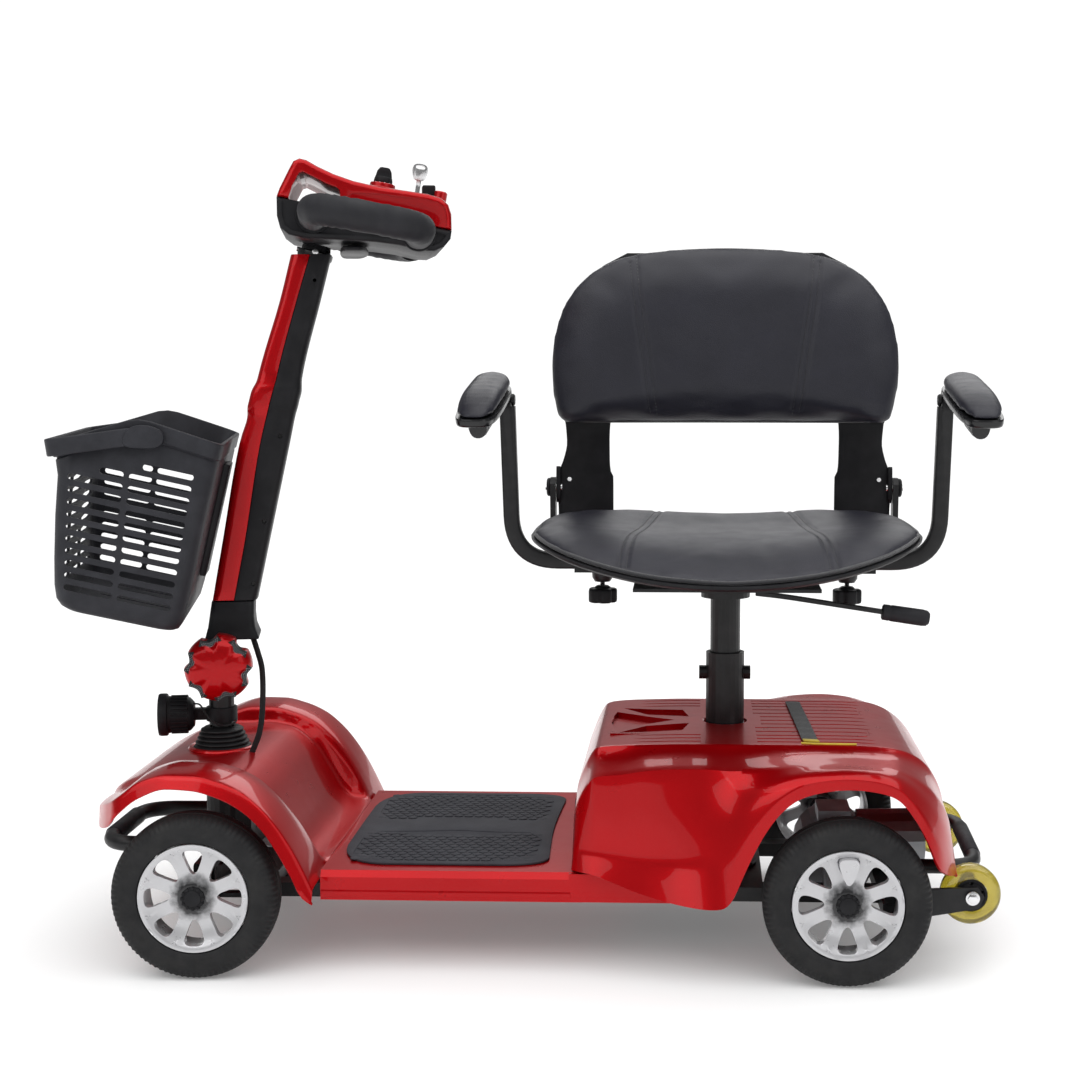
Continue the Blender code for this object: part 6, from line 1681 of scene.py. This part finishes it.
def arms():
    """Both armrests: tube, hinged pad, star knob with its screw, and the nut it turns in."""
    tilt = math.radians(8.5)
    for word, side in SIDES:
        path = rounded([(side * 0.1, ARM_Y, ARM_Z), (side * (ARM_X - 0.006), ARM_Y, ARM_Z),
            (side * ARM_X, ARM_Y, 0.64)], 0.058, 14)
        ear = chaikin([(0.069, 0.625), (0.091, 0.625), (0.097, 0.64), (0.097, 0.654), (0.09, 0.6615), (0.078, 0.661),
            (0.069, 0.65)], 2)
        low, high = sorted((side * (ARM_X - 0.004), side * (ARM_X + 0.004)))
        piece(word + "_arm_bar", sweep(path, squared(0.0097, 0.0034), (0, 1, 0)), STEEL, word + "_arm",
            adds=[extruded(ear, 0, low, high)], replaces=word + "_arm_tube")
        centre = side * 0.2935
        inner = side * (ARM_X + 0.0152)

        def at(length, x, up):
            return (x, PAD_Y - length * math.cos(tilt) - up * math.sin(tilt), PAD_Z - length * math.sin(tilt)
                + up * math.cos(tilt))

        def outline(grow, up, s0=-0.022, s1=0.2185):
            half = 0.0255
            flat = [(s0, -half * 0.45), (s0 + 0.004, -half * 0.82), (0.02, -half * 0.96), (0.09, -half),
                (0.16, -half * 0.99), (0.205, -half * 0.84), (s1, -half * 0.55), (s1, half * 0.55),
                (0.205, half * 0.84), (0.16, half * 0.99), (0.09, half), (0.02, half * 0.96),
                (s0 + 0.004, half * 0.82), (s0, half * 0.45)]
            pts = chaikin(flat, 2)
            cs = 0.5 * (s0 + s1)
            return [at(cs + (s - cs) * (1 + (grow - 1) * 0.28), centre + x * grow, up) for s, x in pts]

        base = loft([outline(0.9, 0.005), outline(0.98, 0.0062), outline(1.01, 0.0085), outline(1.02, 0.0135),
            outline(1.0, 0.015), outline(0.9, 0.015)])
        tongue = []
        for s in (0.13, 0.145, 0.193, 0.2):
            k = 1.0 if 0.14 < s < 0.195 else 0.86
            ring = [(-0.012 * k, 0.006), (0.012 * k, 0.006), (0.012 * k, -0.002), (0.0075 * k, -0.0088),
                (0.0, -0.0108), (-0.0075 * k, -0.0088), (-0.012 * k, -0.002)]
            tongue.append([at(s, centre - side * 0.004 + x, up) for x, up in chaikin(ring, 1)])
        piece(word + "_pad_tray", base, GLOSS, word + "_pad", adds=[loft(tongue)], angle=44.0)
        dome = [outline(1.0, 0.0152)]
        for grow, up in ((1.015, 0.0175), (1.015, 0.0215), (0.98, 0.027), (0.88, 0.0325), (0.72, 0.0362),
                (0.45, 0.038), (0.2, 0.0384)):
            ring = []
            for p, q in zip(outline(grow, up), outline(grow, 0.0152)):
                s = (PAD_Y - q[1]) / math.cos(tilt)
                front, back = float(np.clip((s - 0.1) / 0.118, 0, 1)), float(np.clip((0.02 - s) / 0.04, 0, 1))
                fall = 1.0 - 0.62 * front ** 2.6 - 0.45 * back ** 2
                ring.append(tuple(np.array(q) + (np.array(p) - np.array(q)) * fall))
            dome.append(ring)
        puffed(word + "_pad_cushion", loft(dome), word + "_pad", word + "_arm_pad", 0.006, 0.004,
            keep=lambda co: (co.z - PAD_Z) * math.cos(tilt) + (PAD_Y + SHIFT_Y - co.y) * math.sin(tilt) < 0.0165)
        strip = [at(-0.012, 0, -0.006), at(0.01, 0, -0.0085), at(0.08, 0, 0.003), at(0.19, 0, 0.012),
            at(0.19, 0, 0.018), at(-0.012, 0, 0.018)]
        plate = sorted((inner - side * 0.005, inner - side * 0.001))
        piece(word + "_pad_side_plate", extruded([p[1:] for p in strip], 0, *plate), GREY, word + "_pad", bevel=0.0008)
        pin_a, pin_b = side * (ARM_X - 0.008), side * (ARM_X + 0.013)
        pin = together([rod((pin_a, PAD_Y, PAD_Z), (pin_b, PAD_Y, PAD_Z), 0.004, 20),
            revolve([(0.0, -0.0012), (0.0062, -0.0012), (0.0078, 0.0006), (0.0078, 0.003), (0.0, 0.003)],
            (pin_a, PAD_Y, PAD_Z), (side, 0, 0), 24, False)])
        piece(word + "_pad_pin", pin, STEEL, word + "_pad")
        lobes = []
        for scale, z in ((0.86, 0.3912), (0.97, 0.3922), (1.0, 0.3945), (1.0, 0.406), (0.97, 0.4082), (0.84, 0.4094)):
            lobes.append([(side * KNOB_X + a * scale, ARM_Y + b * scale, z) for a, b in star(0.0172, 0.0024, 5, 14)])
        hub = revolve([(0.0, 0.408), (0.0098, 0.408), (0.0096, 0.411), (0.0072, 0.4128), (0.0, 0.413)],
            (side * KNOB_X, ARM_Y, 0.0), (0, 0, 1), 28, False)
        piece(word + "_arm_knob_grip", loft(lobes), SHELL, word + "_arm_knob", adds=[hub], replaces=word + "_arm_knob",
            angle=55.0)
        thread = [(0.0, 0.411)]
        for k in range(9):
            z = 0.412 + 0.0013 * k
            thread += [(0.0027, z), (0.0031, z + 0.00065)]
        thread += [(0.0027, 0.4236), (0.0, 0.4236)]
        piece(word + "_arm_knob_screw", revolve(thread, (side * KNOB_X, ARM_Y, 0.0), (0, 0, 1), 20, False), BRIGHT,
            word + "_arm_knob")
        nut = revolve([(0.0042, 0.418), (0.0098, 0.418), (0.013, 0.423), (0.0135, 0.43), (0.0042, 0.43)],
            (side * KNOB_X, ARM_Y, 0.0), (0, 0, 1), 32)
        piece(word + "_receiver_nut", nut, STEEL, "seat")


def lever():
    path = smooth_path([(0.035, -0.06, 0.422), (0.07, -0.06, 0.418), (0.13, -0.06, 0.409), (0.196, -0.06, 0.399)], 18)
    bar = sweep(path, [(-0.006, -0.0022), (-0.0054, -0.0026), (0.0054, -0.0026), (0.006, -0.0022), (0.006, 0.0022),
        (0.0054, 0.0026), (-0.0054, 0.0026), (-0.006, 0.0022)], (0, 0, 1))
    piece("swivel_lever_bar", bar, STEEL, "swivel_lever", replaces="swivel_lever")
    axis = unit((0.056, 0, -0.008))
    grip = revolve([(0.0, 0.0), (0.0078, 0.0), (0.0094, 0.0012), (0.0096, 0.008), (0.0092, 0.0095), (0.0098, 0.011),
        (0.01, 0.048), (0.0092, 0.0535), (0.0066, 0.0566), (0.0, 0.0574)], (0.185, -0.06, 0.4005), axis, 40, False)
    piece("swivel_lever_grip", grip, GRIP, "swivel_lever")


seat()
seat_back()
arms()
lever()


# ---------------------------------------------------------------- CAD nodes that stay as they are
dress("chassis_frame seat_post_socket seat_post seat_base swivel_lever left_arm_tube right_arm_tube "
      "steering_column tie_rod front_left_steering_knuckle front_right_steering_knuckle tiller_mast "
      "front_bumper rear_bumper", STEEL)
dress("battery_pack tiller_rear_shell tiller_skirt head_lower_shell back_frame left_arm_knob right_arm_knob "
      "speed_dial horn_button throttle_paddle headlight_housing left_anti_tip_hub right_anti_tip_hub", SHELL, 0.0006)
dress("basket basket_handle", BASKET)
dress("front_cowl footboard rear_shroud tiller_front_shell head_upper_shell fold_knob", RED)
dress("left_arm_pad right_arm_pad seat_cushion back_cushion", LEATHER, 0.0)
dress("front_left_tyre front_right_tyre rear_left_tyre rear_right_tyre", TYRE, 0.0)
dress("steering_boot harness_lower harness_upper", BOOT, 0.0)
dress("left_grip right_grip", GRIP, 0.0)
dress("floor_mat", MAT, 0.0)
dress("front_left_rim front_right_rim rear_left_rim rear_right_rim", WHEEL, 0.0)
dress("transaxle_motor motor_controller", GREY)
dress("ignition_key", BRIGHT, 0.0)
dress("left_anti_tip_tyre right_anti_tip_tyre", AMBER, 0.0)
dress("headlight_lens", LENS, 0.0)
dress("battery_strap", WEB, 0.0)
OURS = set(bpy.data.materials)


# ---------------------------------------------------------------- stage, light and camera
def stage():
    """A pale floor under one wide overhead light, with softer lights at the sides."""
    size = 90.0
    mesh = bpy.data.meshes.new("floor")
    mesh.from_pydata([(-size, -size, -0.0004), (size, -size, -0.0004), (size, size, -0.0004), (-size, size, -0.0004)],
        [], [(0, 1, 2, 3)])
    floor = linked("floor", mesh)
    f = Finish("pale_floor", (0.84, 0.84, 0.84), 0.7, 0.0, Specular_IOR_Level=0.1, Emission_Color=(1.0, 1.0, 1.0, 1.0),
        Emission_Strength=0.16)
    f.clouded((0.6, 2.0), 0.3, 0.7, (0.83, 0.83, 0.83), (0.85, 0.85, 0.85))
    mesh.materials.append(f.mat)
    world = bpy.data.worlds.new("studio")
    bpy.context.scene.world = world
    world.use_nodes = True
    tree = world.node_tree
    soft = tree.nodes["Background"]
    soft.inputs["Color"].default_value = (1.0, 1.0, 1.0, 1.0)
    soft.inputs["Strength"].default_value = 0.22
    backdrop = tree.nodes.new("ShaderNodeBackground")
    backdrop.inputs["Strength"].default_value = 1.35
    rays, mix = tree.nodes.new("ShaderNodeLightPath"), tree.nodes.new("ShaderNodeMixShader")
    tree.links.new(rays.outputs["Is Camera Ray"], mix.inputs[0])
    tree.links.new(soft.outputs[0], mix.inputs[1])
    tree.links.new(backdrop.outputs[0], mix.inputs[2])
    tree.links.new(mix.outputs[0], tree.nodes["World Output"].inputs["Surface"])
    sun = bpy.data.lights.new("overhead_dome", "SUN")
    sun.energy, sun.angle = 3.0, math.radians(95.0)
    dome = bpy.data.objects.new("overhead_dome", sun)
    dome.rotation_euler = (math.radians(8.0), math.radians(4.0), 0.0)
    bpy.context.scene.collection.objects.link(dome)
    for name, spot, size_x, size_y, power in (("key_soft", (-1.7, -2.3, 1.9), 2.6, 1.3, 18.0),
            ("fill_soft", (2.1, -1.9, 1.3), 1.4, 1.8, 8.0), ("rim_soft", (0.4, 2.6, 1.7), 2.2, 0.9, 12.0)):
        light = bpy.data.lights.new(name, "AREA")
        light.shape, light.size, light.size_y, light.energy = "RECTANGLE", size_x, size_y, power
        lamp = bpy.data.objects.new(name, light)
        lamp.location = spot
        aim = Vector((0.0, 0.0, 0.35)) - Vector(spot)
        lamp.rotation_euler = aim.to_track_quat("-Z", "Y").to_euler()
        bpy.context.scene.collection.objects.link(lamp)
    camera = bpy.data.cameras.new("photo_camera")
    camera.lens, camera.sensor_width, camera.shift_x = 60.0, 36.0, -0.0796
    eye = bpy.data.objects.new("photo_camera", camera)
    eye.location = (0.2213, -2.2085, 0.7046)
    eye.rotation_euler = (math.radians(84.13), 0.0, math.radians(2.2))
    bpy.context.scene.collection.objects.link(eye)
    bpy.context.scene.camera = eye
    bpy.context.scene.view_settings.view_transform = "Standard"


stage()
for name, obj in NODES.items():
    if not obj.data.materials or obj.data.materials[0].name not in {m.name for m in OURS}:
        raise SystemExit(f"{name} has no material of its own")
